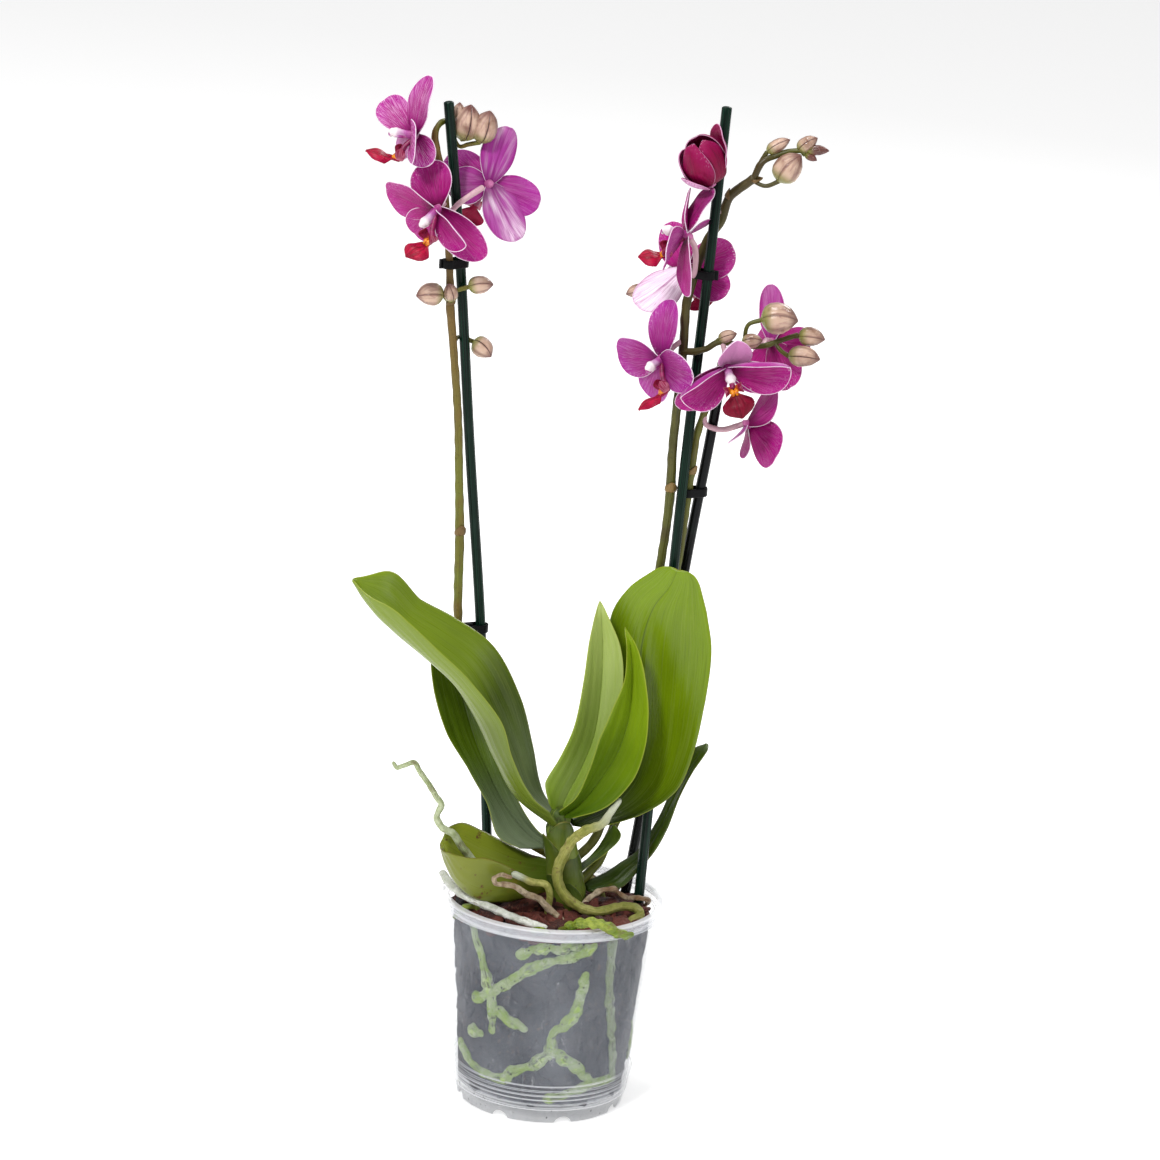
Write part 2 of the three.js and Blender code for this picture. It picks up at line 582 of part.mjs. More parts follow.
// Rows of [left edge, midrib or keel, right edge] from the tip to the base of each leaf.
const LEAVES = {
  leaf_left: [
    [[-113.5, -30, 288], [-114.5, -29, 287.5], [-114, -28, 288.5]],
    [[-96.5, -38, 278], [-100, -30, 270.5], [-95.5, -18, 290]],
    [[-84, -42, 270.5], [-88.5, -30, 260.5], [-79.5, -9, 273.5]],
    [[-68, -42, 255.5], [-73, -28, 248], [-61.5, -3, 262.5]],
    [[-51, -40, 239.5], [-58, -25, 234.5], [-41, 0, 248]],
    [[-33.5, -37, 219], [-45, -22, 214.5], [-25, 2, 222]],
    [[-26, -31, 197], [-34, -18, 192], [-16.5, 2, 196]],
    [[-15.5, -24, 176], [-22, -14, 171.5], [-10.5, 2, 173.5]],
    [[-3, -16, 162], [1.5, -9, 153], [-5, 2, 161]],
  ],
  leaf_right: [
    [[52.5, 4.5, 294.6], [54.2, 4, 295.6], [56, 3.5, 294.8]],
    [[41, 8, 291], [50, 7, 284.5], [64, 1, 286]],
    [[29.5, 12, 282], [42.5, 10, 272], [70, -2, 274]],
    [[21, 15, 266.5], [38, 13, 251.5], [73.5, -5, 255.5]],
    [[19.5, 17, 242], [38.5, 14, 225], [73, -7, 228.5]],
    [[20, 17, 214.5], [40.5, 14, 200.5], [69.5, -8, 201]],
    [[19.5, 15, 190], [37.5, 11, 179.5], [62, -8, 178.5]],
    [[17, 11, 171], [28, 6, 164], [45.5, -6, 163.5]],
    [[5, 1, 157.5], [8, -3, 153], [20, -6, 153]],
  ],
  leaf_mid_front: [
    [[28, -5, 264.5], [28, -4, 264.5], [28.5, -5, 264.5]],
    [[29.5, -9, 256], [31.5, -4, 253.5], [35, -7, 255]],
    [[30, -12, 239], [34, -3, 231], [41, -11, 236]],
    [[25, -14, 224], [33.5, -4, 214], [43.5, -15, 221]],
    [[19, -15, 207], [29, -5, 195.5], [43, -19, 204]],
    [[14.5, -16, 188], [21.5, -8, 182], [38, -22, 187]],
    [[9, -16, 173], [12.5, -10, 169], [25, -22, 171]],
    [[0, -15, 164], [1.5, -9, 159], [7.5, -17, 161.5]],
  ],
  leaf_mid_back: [
    [[13.5, 3, 275], [14, 4, 275.5], [14.5, 4, 275]],
    [[11.5, 1, 267], [16, 7, 262], [19.5, 3, 267]],
    [[9.5, -2, 253], [17.5, 8, 246.5], [26.5, 3, 252]],
    [[8, -4, 233], [18, 8, 225.5], [29.5, 4, 232]],
    [[5, -6, 209], [16, 7, 200.5], [27, 5, 206]],
    [[-1, -8, 192.5], [10.5, 4, 183], [20, 4, 185.5]],
    [[-8, -9, 178], [3.5, 0, 167.5], [13, 3, 168.5]],
    [[-5, -9, 166], [0, -4, 157], [4, 1, 159]],
  ],
  leaf_left_back: [
    [[-70, 14, 254], [-69, 15, 254.5], [-68, 14, 254.5]],
    [[-73, 9, 241], [-63.5, 17, 238], [-54.5, 12, 242.5]],
    [[-70, 6, 220], [-56, 17, 216.5], [-41, 9, 223.5]],
    [[-61.5, 4, 196], [-47, 16, 191.5], [-31, 7, 197.5]],
    [[-49.5, 3, 179], [-39.5, 14, 175], [-26.5, 6, 174]],
    [[-38.5, 1, 161.5], [-28.5, 11, 156.5], [-19.5, 4, 158.5]],
    [[-31.5, -3, 144], [-16.5, 7, 144], [-10, 2, 147]],
    [[-19, -5, 138.5], [-4, 1, 138], [-2, -1, 143]],
  ],
  leaf_low_right: [
    [[76, 26, 193.5], [76.5, 26, 194], [77, 26, 193]],
    [[69.5, 24, 191.5], [73, 20, 190.5], [76, 18, 191.5]],
    [[64, 24, 180.5], [67.5, 19, 180], [70.5, 16, 182]],
    [[58, 23, 164], [61, 18, 164], [64.5, 14, 168.5]],
    [[52, 21, 149.5], [55, 16, 148.5], [58.5, 13, 149]],
    [[43.5, 19, 134.5], [47.5, 14.5, 134], [52, 12, 135.5]],
    [[34.5, 17, 127.5], [39, 11, 125.5], [44, 9.5, 124.5]],
    [[26.5, 14, 122], [31.5, 8, 119], [37, 6, 117.5]],
    [[15, 8, 117], [18, 2, 115.5], [24, 0, 115.5]],
  ],
  leaf_low_left: [
    [[-59.5, -22, 143], [-60.5, -20, 142.5], [-59.5, -18, 146]],
    [[-55.5, -33, 144], [-56.5, -26, 136], [-58, -10, 149]],
    [[-48, -38, 143.5], [-50, -28, 126], [-50.5, -2, 150]],
    [[-37.5, -38, 143.5], [-38, -27, 117.5], [-39, 2, 144.5]],
    [[-26, -34, 139], [-26, -23, 116], [-25.5, 4, 137.5]],
    [[-16, -27, 131.5], [-14, -17, 117.5], [-13.5, 5, 132.5]],
    [[-5, -15, 124], [0, -7, 118], [-1, 4, 130]],
  ],
  leaf_small: [
    [[29.5, 13, 149], [30, 13, 149.5], [30.5, 13, 149]],
    [[26.5, 12, 145], [29.5, 9.5, 144.6], [34, 8, 145.5]],
    [[22.5, 10, 138], [24.5, 6.5, 136.6], [28.5, 5, 138]],
    [[17.5, 7, 132], [18, 3, 131], [21.5, 1, 132.5]],
    [[10, 4, 126], [10.5, 0, 126], [14.5, -1, 126.5]],
  ],
};

// ---------------------------------------------------------------- roots

// Roots that grow out over the bark and the rim.
const AERIAL_ROOTS = {
  root_tall: {
    colour: ROOT_PALE,
    radii: [1.2, 1.3, 1.4, 1.5, 1.6, 1.7, 1.8, 1.9, 2, 2.1, 2.2, 2.3, 2.4, 2.4],
    path: [
      [-87.5, -22, 186.5], [-86, -22, 184.5], [-82.5, -22, 186], [-77, -22, 188], [-74, -22, 183.5],
      [-69, -22, 177], [-64, -22, 169.5], [-61.5, -22, 166], [-63.5, -22, 159], [-60.5, -22, 153.5],
      [-54, -21, 149.5], [-50.5, -20, 144], [-44, -19, 136], [-36, -19, 126],
    ],
  },
  root_white: {
    colour: WHITE,
    radii: 2.4,
    path: [
      [-58.5, -4, 121], [-57, -8, 120], [-53.5, -14, 118.5], [-49, -20, 117], [-43, -24, 115.5],
      [-37.5, -27, 114.5], [-28.5, -31, 112.5], [-20.5, -35, 111], [-12.5, -39, 110], [-4, -42, 108.5],
      [-1, -42, 106.5],
    ],
  },
  root_thick: {
    colour: ROOT_PALE,
    radii: [1.7, 2.2, 2.7, 3, 3.1, 3.2, 3.2, 3.2, 3.1, 3, 2.9, 2.8, 2.6, 2.3, 1.8],
    path: [
      [31, -20, 173.5], [27.5, -21, 168], [23.5, -22, 161.5], [15, -21.5, 157], [9, -20, 151],
      [4, -19, 141], [1.5, -18.5, 132], [2.5, -19, 126], [6.5, -20, 119.5], [13.5, -21, 114.5],
      [24, -20, 111.5], [36, -12, 112.5], [44.5, -11, 112], [47, -16, 110.5], [42, -20, 108],
    ],
  },
  root_curled: {
    colour: ROOT_DRY,
    radii: [1.2, 1.3, 1.4, 1.5, 1.6, 1.8, 2, 2, 2, 1.8],
    path: [
      [-23, -40, 134.8], [-28, -41, 136], [-31, -41, 134], [-30, -40.5, 131], [-25.5, -40, 130.5],
      [-21, -38, 129.5], [-14.5, -33, 124], [-6.5, -28, 118.5], [1, -27, 112], [8, -29, 106],
    ],
  },
  root_short: {
    colour: ROOT_PALE,
    radii: 2.1,
    path: [
      [-20, -31, 133], [-10, -27, 128], [-4, -26, 127], [-1.5, -25, 121.5], [-2, -22.5, 113.5],
      [-2, -21, 105],
    ],
  },
  root_rim: {
    colour: ROOT_GREEN,
    radii: [2, 2.4, 2.8, 3, 3, 2.8, 2.2],
    path: [
      [5, -38, 105], [9, -46, 111.5], [17, -52, 116.4], [24.5, -55, 117.6], [31.5, -56.5, 115.6],
      [37, -54, 112.6], [42, -50, 111],
    ],
  },
  root_looped: {
    colour: ROOT_DRY,
    radii: [1.6, 1.7, 1.8, 1.7, 1.6, 1.5, 1.6, 1.6, 1.4],
    path: [
      [16, -9, 110], [20, -5, 114.5], [25, -3, 117.5], [32, -1.5, 118], [37.5, 0, 114], [42, 2, 113],
      [47, -1, 114], [51, 3, 111.5], [49, 9, 106],
    ],
  },
  root_yellow: {
    colour: ROOT_GREEN,
    radii: 1.6,
    path: [[-12, -46, 105], [-8, -49, 109.5], [-3, -50, 110], [1, -47, 105.5]],
  },
  root_green: {
    colour: ROOT_GREEN,
    radii: 1.8,
    path: [[-50, -20, 104], [-45.5, -22, 109.5], [-40, -20, 110], [-34, -25, 105]],
  },
  root_stub: {
    colour: ROOT_PALE,
    radii: 2.2,
    path: [[12, 10, 121], [19, 13, 118.5], [25, 12, 113], [27, 11, 106]],
  },
};

// Roots that run in the bark along the wall, as [degrees from the front, height].
const WALL_ROOTS = {
  wall_root_upper: [
    [[-50, 103], [-46, 95], [-40.5, 85], [-37, 75], [-35, 64], [-34, 49]],
    [[25, 102], [18, 98.5], [12, 96.5], [-1.5, 92.5], [-13.5, 86], [-22, 79.5], [-31.5, 73], [-47, 63.5]],
    [[16, 102.5], [6, 101.5], [-4, 101], [-15.5, 96.5]],
  ],
  wall_root_lower: [
    [
      [23.5, 85.5], [21.5, 73.5], [16, 60], [6.5, 52.5], [4.5, 41.5], [-2.5, 35], [-14, 30],
      [-26, 22.5], [-39.5, 21.5], [-52, 24.5], [-68, 31],
    ],
    [[-28, 60], [-20.5, 56], [-13, 53.5], [-4, 50.5], [5, 47.5]],
    [[4.5, 43], [13, 38.5], [22, 33], [35, 23]],
  ],
  wall_root_right: [[[38, 103], [41, 81.5], [44, 65], [47.5, 50.5], [53, 34], [57, 20]]],
  wall_root_foot: [[[8, 14], [20, 17], [32, 20.5], [52, 21.5]]],
  wall_root_back_left: [[[-150, 100], [-140, 78], [-146, 52], [-128, 34], [-110, 28]]],
  wall_root_back: [[[165, 98], [172, 74], [160, 50], [176, 30], [200, 24]]],
  wall_root_back_right: [[[118, 101], [108, 80], [114, 58], [100, 38], [92, 24]]],
};

function alongWall(stations) {
  return stations.map(([degrees, z]) => {
    const angle = THREE.MathUtils.degToRad(degrees);
    const radius = wallInside(z) * FACET - GAP - WALL_ROOT_DEPTH / 2;
    return [Math.sin(angle) * radius, -Math.cos(angle) * radius, z];
  });
}

function wallRoot(strands) {
  const away = (point) => new THREE.Vector3(point.x, point.y, 0);
  const squash = WALL_ROOT_DEPTH / WALL_ROOT_WIDTH;
  return (grow) => joined(strands.map((stations) => {
    return tube(alongWall(stations), WALL_ROOT_WIDTH / 2, { grow, squash, away, sides: 5 });
  }));
}

// ---------------------------------------------------------------- blooms

// Each open bloom: the centre, then vectors from it to the end of the column, to the throat, to the
// tip of the lip and to the tips of its three sepals and two petals. Where a blade of the five,
// numbered in that order, doesn't look along the column or isn't of the usual width, `faces` and
// `widths` say so, and `rise` is the side that the lip's upper face looks to.
const BLOOMS = {
  a: {
    at: [-98, 20, 512], column: [-13, -0.5, 1.5], throat: [-6, -3, -12.5], lip: [-24, -5, -8],
    rise: [0.2, -0.15, 1],
    sepals: [[6.5, 1.5, 31.5], [-9, 16, -13], [9, -8, -13]],
    petals: [[-16.5, 21, 13.5], [3, -24, -1]],
    faces: [[-11, -7, 1], [-5, -9, 2], [-6, -9, 3], [-0.5, -1, 0.9], [-1, -0.1, 0]],
    widths: { 0: 22, 1: 13, 2: 17, 3: 18, 4: 23 },
  },
  b: {
    at: [-83.5, 12, 476], column: [-8, -9.5, -8], throat: [-1.5, -13, -14], lip: [-14, -21.5, -21],
    rise: [-0.3, -0.6, 0.75],
    sepals: [[-6, 12, 22], [-12, 17.5, -18], [26, -5, -23]],
    petals: [[-27, 13, 7], [17, -15.5, -14]],
    faces: { 0: [-4, -14, 7], 2: [-5, -13, 1] },
    widths: { 0: 23, 2: 21, 3: 25, 4: 20 },
  },
  c: {
    at: [-58.5, 38, 486], column: [-5, 11.5, -3.5], throat: [-6, 8, -13], lip: [-11.5, 10, -24.5],
    sepals: [[8.5, 6, 29.5], [-22, 0, -3], [17.5, -3.5, -28]],
    petals: [[27.5, 6.5, -10], [-23.5, 6, 10.3]],
    widths: { 0: 19, 2: 22, 3: 21 },
  },
  e: {
    at: [45, 14, 471], column: [-13, -3, 3.5], throat: [-8.5, -10, -9], lip: [-24, -12, -10],
    rise: [0, -0.35, 1],
    sepals: [[0, 10, 23], [10.5, 20, 2.5], [3, -15, -28.5]],
    petals: [[13, 9, 24], [-9, -24, -9]],
    faces: [[-1, -0.06, 0.02], [-0.8, -0.7, 0.3], [-0.9, -0.35, 0.1], [-0.9, -0.45, 0.2], [-1, -0.25, 0]],
    widths: { 0: 18, 1: 14, 2: 18, 3: 17, 4: 24 },
  },
  f: {
    at: [45.5, 40, 447.5], column: [4, 9, -5], throat: [8.5, 7, -13], lip: [13.5, 3, -21],
    sepals: [[-9.5, 17, 20.5], [24.5, -5, -9.5], [-23, -12, -19]],
    petals: [[25, 3, 13], [-12, 22, -16]],
    widths: { 2: 23, 4: 18 },
  },
  g: {
    at: [37, 14, 405], column: [-7.5, -9.5, -4], throat: [4, -14.5, -13], lip: [-10.5, -20.5, -22.5],
    rise: [0, 0.15, 1],
    sepals: [[2.5, 10, 29.5], [-3, 12, -25], [12.5, 13, -17]],
    petals: [[-22.5, 17, -1.5], [17.5, -21.5, -2.5]],
  },
  h: {
    at: [71, 6, 405], column: [3, -12.5, -5.5], throat: [3.5, -13.5, -7.5], lip: [9.5, -19, -22],
    sepals: [[4.5, -10.5, 16.5], [-24, 2, -24], [31.5, 6.5, -8]],
    petals: [[-23, -6, -16.5], [32.5, -8.5, 4]],
    widths: { 3: 26, 4: 27 },
  },
  i: {
    at: [94.5, 44, 411], column: [5, 10, -4], throat: [6, 9, -14.5], lip: [10.5, 12, -19.5],
    sepals: [[-2.5, 13.5, 28], [11.5, -20.5, -19], [-8.5, -2, -25]],
    petals: [[19, -14, 0], [-9, 24, -8]],
    widths: { 0: 15 },
  },
  j: {
    at: [85, 26, 370.5], column: [9, 4, -3], throat: [6, 3, -12], lip: [16, 6, -17],
    sepals: [[13.5, -13, 25], [-9.5, -12, -8], [-2, 14, -21]],
    petals: [[14, -24.5, -11], [6, 26, 8]],
    widths: { 1: 8, 2: 14 },
  },
};

// The column runs through the flower's base; the petals lie in a layer in front of the sepals.
function bloom({ at, column, sepals, petals, faces = {}, widths = {} }) {
  const face = unit(vector(column)).toArray();
  const step = (k) => plus(at, scaled(face, k));
  const core = [step(-3), step(0), plus(at, scaled(column, 0.55)), plus(at, column)];
  const blades = [...sepals, ...petals].map((reach, k) => {
    const layer = k < sepals.length
      ? { base: step(-0.8), width: SEPAL_WIDTH, arch: 0.05, cup: 0.08 }
      : { base: step(1), width: PETAL_WIDTH, arch: 0.04, cup: 0.06 };
    return { ...layer, reach, width: widths[k] ?? layer.width, side: faces[k] ?? column };
  });
  return (grow) => joined([
    tube(core, [1.8, COLUMN_RADIUS, 2.6, 3.1], { grow, sides: 5 }),
    ...blades.map(({ base, reach, side, width, arch, cup }) => {
      return tepal(base, reach, side, width, { grow, arch, cup });
    }),
  ]);
}

// The bloom that is still opening: its tepals stand round a cup and bend over it. Each is given as
// [radius, height, degrees round the axis, half its spread in degrees, how far it closes].
const OPENING = {
  at: [56, 25, 498.5],
  axis: [-7, -6, 18],
  shells: [
    [15, 24, 200, 50, 0.42], [12.6, 27, 140, 50, 0.62], [12.8, 52, 15, 50, 0.5], [10.4, 25, 75, 80, 0.9],
    [10.4, 25, 255, 80, 0.9],
  ],
};

// Rows of place along a cupped tepal and share of its full spread.
const SHELL_ROWS = [[0.02, 0.5], [0.34, 0.94], [0.66, 0.94], [0.96, 0.3]];

function cupShell([radius, height, degrees, spread, close]) {
  const axis = unit(vector(OPENING.axis));
  const side = squareTo(new THREE.Vector3(1, 0.3, 0.2), axis);
  const other = axis.clone().cross(side);
  const base = vector(OPENING.at).addScaledVector(axis, -0.5);
  return SHELL_ROWS.map(([t, share]) => [-1, -1 / 3, 1 / 3, 1].map((u) => {
    const angle = THREE.MathUtils.degToRad(degrees + spread * share * u);
    const polar = Math.PI * close * t;
    const out = radius * Math.sin(polar * 0.98 + 0.1) ** 0.85;
    return base.clone()
      .addScaledVector(axis, (height * (1 - Math.cos(polar))) / 1.9)
      .addScaledVector(side, out * Math.cos(angle))
      .addScaledVector(other, out * Math.sin(angle));
  }));
}

function openingBloom(grow) {
  const direction = unit(vector(OPENING.axis)).toArray();
  const core = [-2.5, 1, 9].map((k) => plus(OPENING.at, scaled(direction, k)));
  const cups = OPENING.shells.map((plan) => blade(cupShell(plan), () => TEPAL_THICKNESS, grow));
  return joined([tube(core, [2, COLUMN_RADIUS, 2], { grow, sides: 5 }), ...cups]);
}

// The lip, one folded blade on a short foot: side lobes that stand up beside the column, then a
// waist, then a pointed middle lobe. Rows of place along it, half width, edge lift and middle lift.
const LIP_ROWS = [
  [0, 2.2, 3, -0.4], [0.2, 4.6, 7, -0.4], [0.36, 5.4, 0.4, 0.5], [0.72, 7.6, -1.2, 1.2], [1, 0.8, 0, 0.3],
];

function lip({ at, column, throat, lip: end, rise = column }) {
  const root = vector(plus(at, throat));
  const axis = vector(plus(end, scaled(throat, -1)));
  const along = unit(axis);
  const normal = squareTo(vector(rise), along);
  const across = along.clone().cross(normal);
  const grid = LIP_ROWS.map(([t, half, edge, lift]) => [-1, 0, 1].map((u) => root.clone()
    .addScaledVector(axis, t)
    .addScaledVector(across, u * half)
    .addScaledVector(normal, lift + edge * u * u)));
  const seat = unit(vector(throat)).multiplyScalar(COLUMN_RADIUS + GAP + 0.2).toArray();
  return (grow) => blade(grid, () => LIP_THICKNESS, grow)
    .add(tube([plus(at, seat), plus(at, throat)], [1.6, 2.2], { grow, sides: 5 }));
}

// ---------------------------------------------------------------- assembly

const pieces = [];

// Adds a piece, cut back by the clearance around everything added before it.
function add(name, color, roughness, shape) {
  let body = shape(0);
  for (const other of pieces) {
    if (boxesMeet(body, other.skin)) body = body.subtract(other.skin);
  }
  pieces.push({ name, color, roughness, body: largestPiece(body), skin: shape(GAP) });
}

add('pot', 0xdfe3e6, 0.25, pot);
for (const [name, points] of Object.entries(STAKES)) {
  add(name, name === 'stake_short' ? BLACK : STAKE_GREEN, 0.4, stake(points));
}
add('crown', 0x4a3a30, 0.7, crown);
for (const [name, plan] of Object.entries(SPIKES)) add(name, STEM_GREEN, 0.5, spike(plan));
for (const [name, plan] of Object.entries(CLIPS)) add(name, BLACK, 0.4, clip(plan));
for (const [name, rows] of Object.entries(LEAVES)) add(name, LEAF_GREEN, 0.4, (grow) => leaf(rows, grow));
for (const [name, { colour, radii, path }] of Object.entries(AERIAL_ROOTS)) {
  add(name, colour, 0.7, (grow) => tube(path, radii, { grow, squash: 0.8, sides: 5 }));
}
for (const [name, strands] of Object.entries(WALL_ROOTS)) add(name, ROOT_GREEN, 0.6, wallRoot(strands));
add('substrate', BARK, 0.95, bark);
for (const [key, plan] of Object.entries(BLOOMS)) {
  add(`bloom_${key}`, MAGENTA, 0.6, bloom(plan));
  add(`lip_${key}`, CRIMSON, 0.5, lip(plan));
}
add('bloom_d', MAGENTA, 0.6, openingBloom);

function meshOf({ name, color, roughness, body }) {
  const { vertProperties, triVerts } = body.getMesh();
  const geometry = new THREE.BufferGeometry();
  geometry.setAttribute('position', new THREE.Float32BufferAttribute(vertProperties, 3));
  geometry.setIndex(Array.from(triVerts));
  geometry.computeVertexNormals();
  const mesh = new THREE.Mesh(geometry, new THREE.MeshStandardMaterial({ color, roughness, metalness: 0 }));
  mesh.name = name;
  return mesh;
}

const plant = new THREE.Group();
plant.add(...pieces.map(meshOf));

export default plant;
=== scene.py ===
# A moth orchid in a clear nursery pot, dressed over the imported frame: every solid of the frame is
# replaced by a finer piece of the same form. Sizes in the tables are millimetres; the meshes are
# made in metres. +Z is up, and the front of the plant looks along -Y.

import math

import bmesh
import bpy
import numpy as np
from mathutils import Matrix, Vector


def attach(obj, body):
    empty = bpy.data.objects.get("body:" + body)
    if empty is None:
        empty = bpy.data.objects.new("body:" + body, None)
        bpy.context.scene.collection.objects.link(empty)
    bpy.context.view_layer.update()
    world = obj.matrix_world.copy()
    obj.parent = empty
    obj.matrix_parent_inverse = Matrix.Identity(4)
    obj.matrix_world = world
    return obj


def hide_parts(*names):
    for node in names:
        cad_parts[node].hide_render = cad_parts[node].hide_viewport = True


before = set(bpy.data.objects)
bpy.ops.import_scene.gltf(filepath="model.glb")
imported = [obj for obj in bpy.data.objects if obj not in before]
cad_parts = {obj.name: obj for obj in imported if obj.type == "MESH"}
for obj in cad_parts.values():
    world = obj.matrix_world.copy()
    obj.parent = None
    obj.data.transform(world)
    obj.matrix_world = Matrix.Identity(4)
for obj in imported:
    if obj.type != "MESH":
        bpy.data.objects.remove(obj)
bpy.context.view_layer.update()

MM = 0.001
TAU = 2 * math.pi
UP = np.array([0, 0, 1.0])

# ---------------------------------------------------------------- camera, light and floor

CAMERA_PLACE = (0, -2.445, 0.989)
CAMERA_TURN = (0.067, 16.017, 3.983)  # degrees: to the right, down, and about the line of sight
LENS, SENSOR = 151.2, 36  # mm
FLOOR_REACH = 14
# Each lamp's place and target, the diameter of its disk and its watts.
LAMPS = {
    "key": ((-1.0, -1.9, 2.2), (0, 0, 0.3), 0.5, 50),
    "top": ((-0.35, 0.1, 2.5), (0, 0, 0.25), 0.7, 26),
    "fill": ((2.0, -1.3, 0.9), (0, 0, 0.25), 1.2, 8),
    "rim": ((0.8, 1.8, 1.5), (0, 0, 0.3), 0.9, 16),
}


def add_object(name, data):
    """A new object of the scene, made of mesh, camera or lamp data."""
    made = bpy.data.objects.new(name, data)
    bpy.context.collection.objects.link(made)
    return made


def set_camera():
    """The photograph's viewpoint: in front and above, a long lens, rolled a little."""
    yaw, pitch, roll = (math.radians(a) for a in CAMERA_TURN)
    data = bpy.data.cameras.new("camera")
    data.lens, data.sensor_width = LENS, SENSOR
    data.clip_start, data.clip_end = 0.1, 60
    camera = add_object("camera", data)
    level = Matrix.Rotation(-yaw, 4, "Z") @ Matrix.Rotation(math.pi / 2 - pitch, 4, "X")
    camera.matrix_world = Matrix.Translation(CAMERA_PLACE) @ level @ Matrix.Rotation(roll, 4, "Z")
    bpy.context.scene.camera = camera


def set_light():
    """An even white studio with four soft lamps."""
    world = bpy.data.worlds.new("studio")
    world.use_nodes = True
    background = world.node_tree.nodes["Background"].inputs
    background["Color"].default_value = (1, 1, 1, 1)
    background["Strength"].default_value = 0.5
    bpy.context.scene.world = world
    bpy.context.scene.view_settings.view_transform = "Standard"
    for name, (place, target, size, watts) in LAMPS.items():
        data = bpy.data.lights.new(name, "AREA")
        data.shape, data.size, data.energy = "DISK", size, watts
        lamp = add_object(name, data)
        lamp.location = place
        lamp.rotation_euler = (Vector(target) - Vector(place)).to_track_quat("-Z", "Y").to_euler()


def add_floor():
    mesh = bpy.data.meshes.new("floor")
    corners = [(x * FLOOR_REACH, y * FLOOR_REACH, 0) for x, y in ((-1, -1), (1, -1), (1, 1), (-1, 1))]
    mesh.from_pydata(corners, [], [(0, 1, 2, 3)])
    pale = Paint("floor").finish("#f6f6f6", 0.8, Emission_Color=(1, 1, 1, 1), Emission_Strength=0.36)
    mesh.materials.append(pale)
    add_object("floor", mesh)


# ---------------------------------------------------------------- materials


def linear(colour):
    """A hex colour as linear RGBA."""
    parts = [int(colour[k:k + 2], 16) / 255 for k in (1, 3, 5)]
    return tuple(c / 12.92 if c <= 0.04045 else ((c + 0.055) / 1.055) ** 2.4 for c in parts) + (1.0,)


def feed(tree, socket, value):
    """Give an input a Value, a hex colour, a number or a tuple."""
    if isinstance(value, Value):
        tree.links.new(value.socket, socket)
    elif isinstance(value, str):
        socket.default_value = linear(value)
    elif socket.type == "RGBA" and not isinstance(value, tuple):
        socket.default_value = (value, value, value, 1)
    else:
        socket.default_value = value


def node(tree, kind, *values, **settings):
    """The outputs of a new node: values go to its first inputs in order, settings to its properties
    or, with a capital, to its inputs by name."""
    made = tree.nodes.new("ShaderNode" + kind)
    for key, value in settings.items():
        if key[0].isupper():
            feed(tree, made.inputs[key.replace("_", " ")], value)
        else:
            setattr(made, key, value)
    for socket, value in zip(made.inputs, values):
        feed(tree, socket, value)
    return [Value(tree, socket) for socket in made.outputs]


def mixed(tree, share, below, above):
    """The colour `below` covered by `above` by a share, which may be a plain number."""
    made = tree.nodes.new("ShaderNodeMix")
    made.data_type = "RGBA"
    for place, value in ((0, share), (6, below), (7, above)):
        feed(tree, made.inputs[place], value)
    return Value(tree, made.outputs[2])


class Value:
    """The output of a shader node, used like a number, a colour or a place."""

    def __init__(self, tree, socket):
        self.tree, self.socket = tree, socket

    def math(self, operation, other=0.0):
        return node(self.tree, "Math", self, other, operation=operation)[0]

    def __add__(self, other):
        return self.math("ADD", other)

    def __sub__(self, other):
        return self.math("SUBTRACT", other)

    def __mul__(self, other):
        return self.math("MULTIPLY", other)

    def __truediv__(self, other):
        return self.math("DIVIDE", other)

    def __abs__(self):
        return self.math("ABSOLUTE")

    def most(self, other):
        """The larger of two values."""
        return self.math("MAXIMUM", other)

    def step(self, low, high, to_low=0.0, to_high=1.0):
        """A smooth step from to_low at `low` to to_high at `high`, which may be the smaller."""
        limits = (low, high, to_low, to_high)
        return node(self.tree, "MapRange", self, *limits, interpolation_type="SMOOTHSTEP")[0]

    def mix(self, below, above):
        """One colour below another that covers it by this share."""
        return mixed(self.tree, self, below, above)

    def layers(self, *layers):
        """Colours laid over this one, each as (share, colour)."""
        base = self
        for share, colour in layers:
            base = mixed(self.tree, share, base, colour)
        return base

    def ramp(self, *stops):
        """A colour that runs through stops of (place, colour)."""
        made = self.tree.nodes.new("ShaderNodeValToRGB")
        feed(self.tree, made.inputs[0], self)
        elements = made.color_ramp.elements
        while len(elements) < len(stops):
            elements.new(0.5)
        for element, (place, colour) in zip(elements, stops):
            element.position, element.color = place, linear(colour)
        return Value(self.tree, made.outputs[0])

    def axes(self):
        return node(self.tree, "SeparateXYZ", self)

    def noise(self, scale, detail, rough=0.5, warp=0.0):
        looks = dict(Scale=scale, Detail=detail, Roughness=rough, Distortion=warp)
        return node(self.tree, "TexNoise", Vector=self, **looks)[0]

    def cells(self, scale, jitter=1.0):
        """The distance to the middle of the nearest cell."""
        return node(self.tree, "TexVoronoi", Vector=self, Scale=scale, Randomness=jitter)[0]

    def streak(self, scale, width):
        """Thin lines where a noise crosses its middle: 1 on the line, 0 away from it."""
        return abs(self.noise(scale, 2.0) - 0.5).step(width, 0.0)

    def bump(self, strength, depth):
        return node(self.tree, "Bump", Height=self, Strength=strength, Distance=depth)[0]


SHORT_NAMES = {"glow": "Subsurface Weight", "reach": "Subsurface Radius", "shine": "Specular IOR Level"}


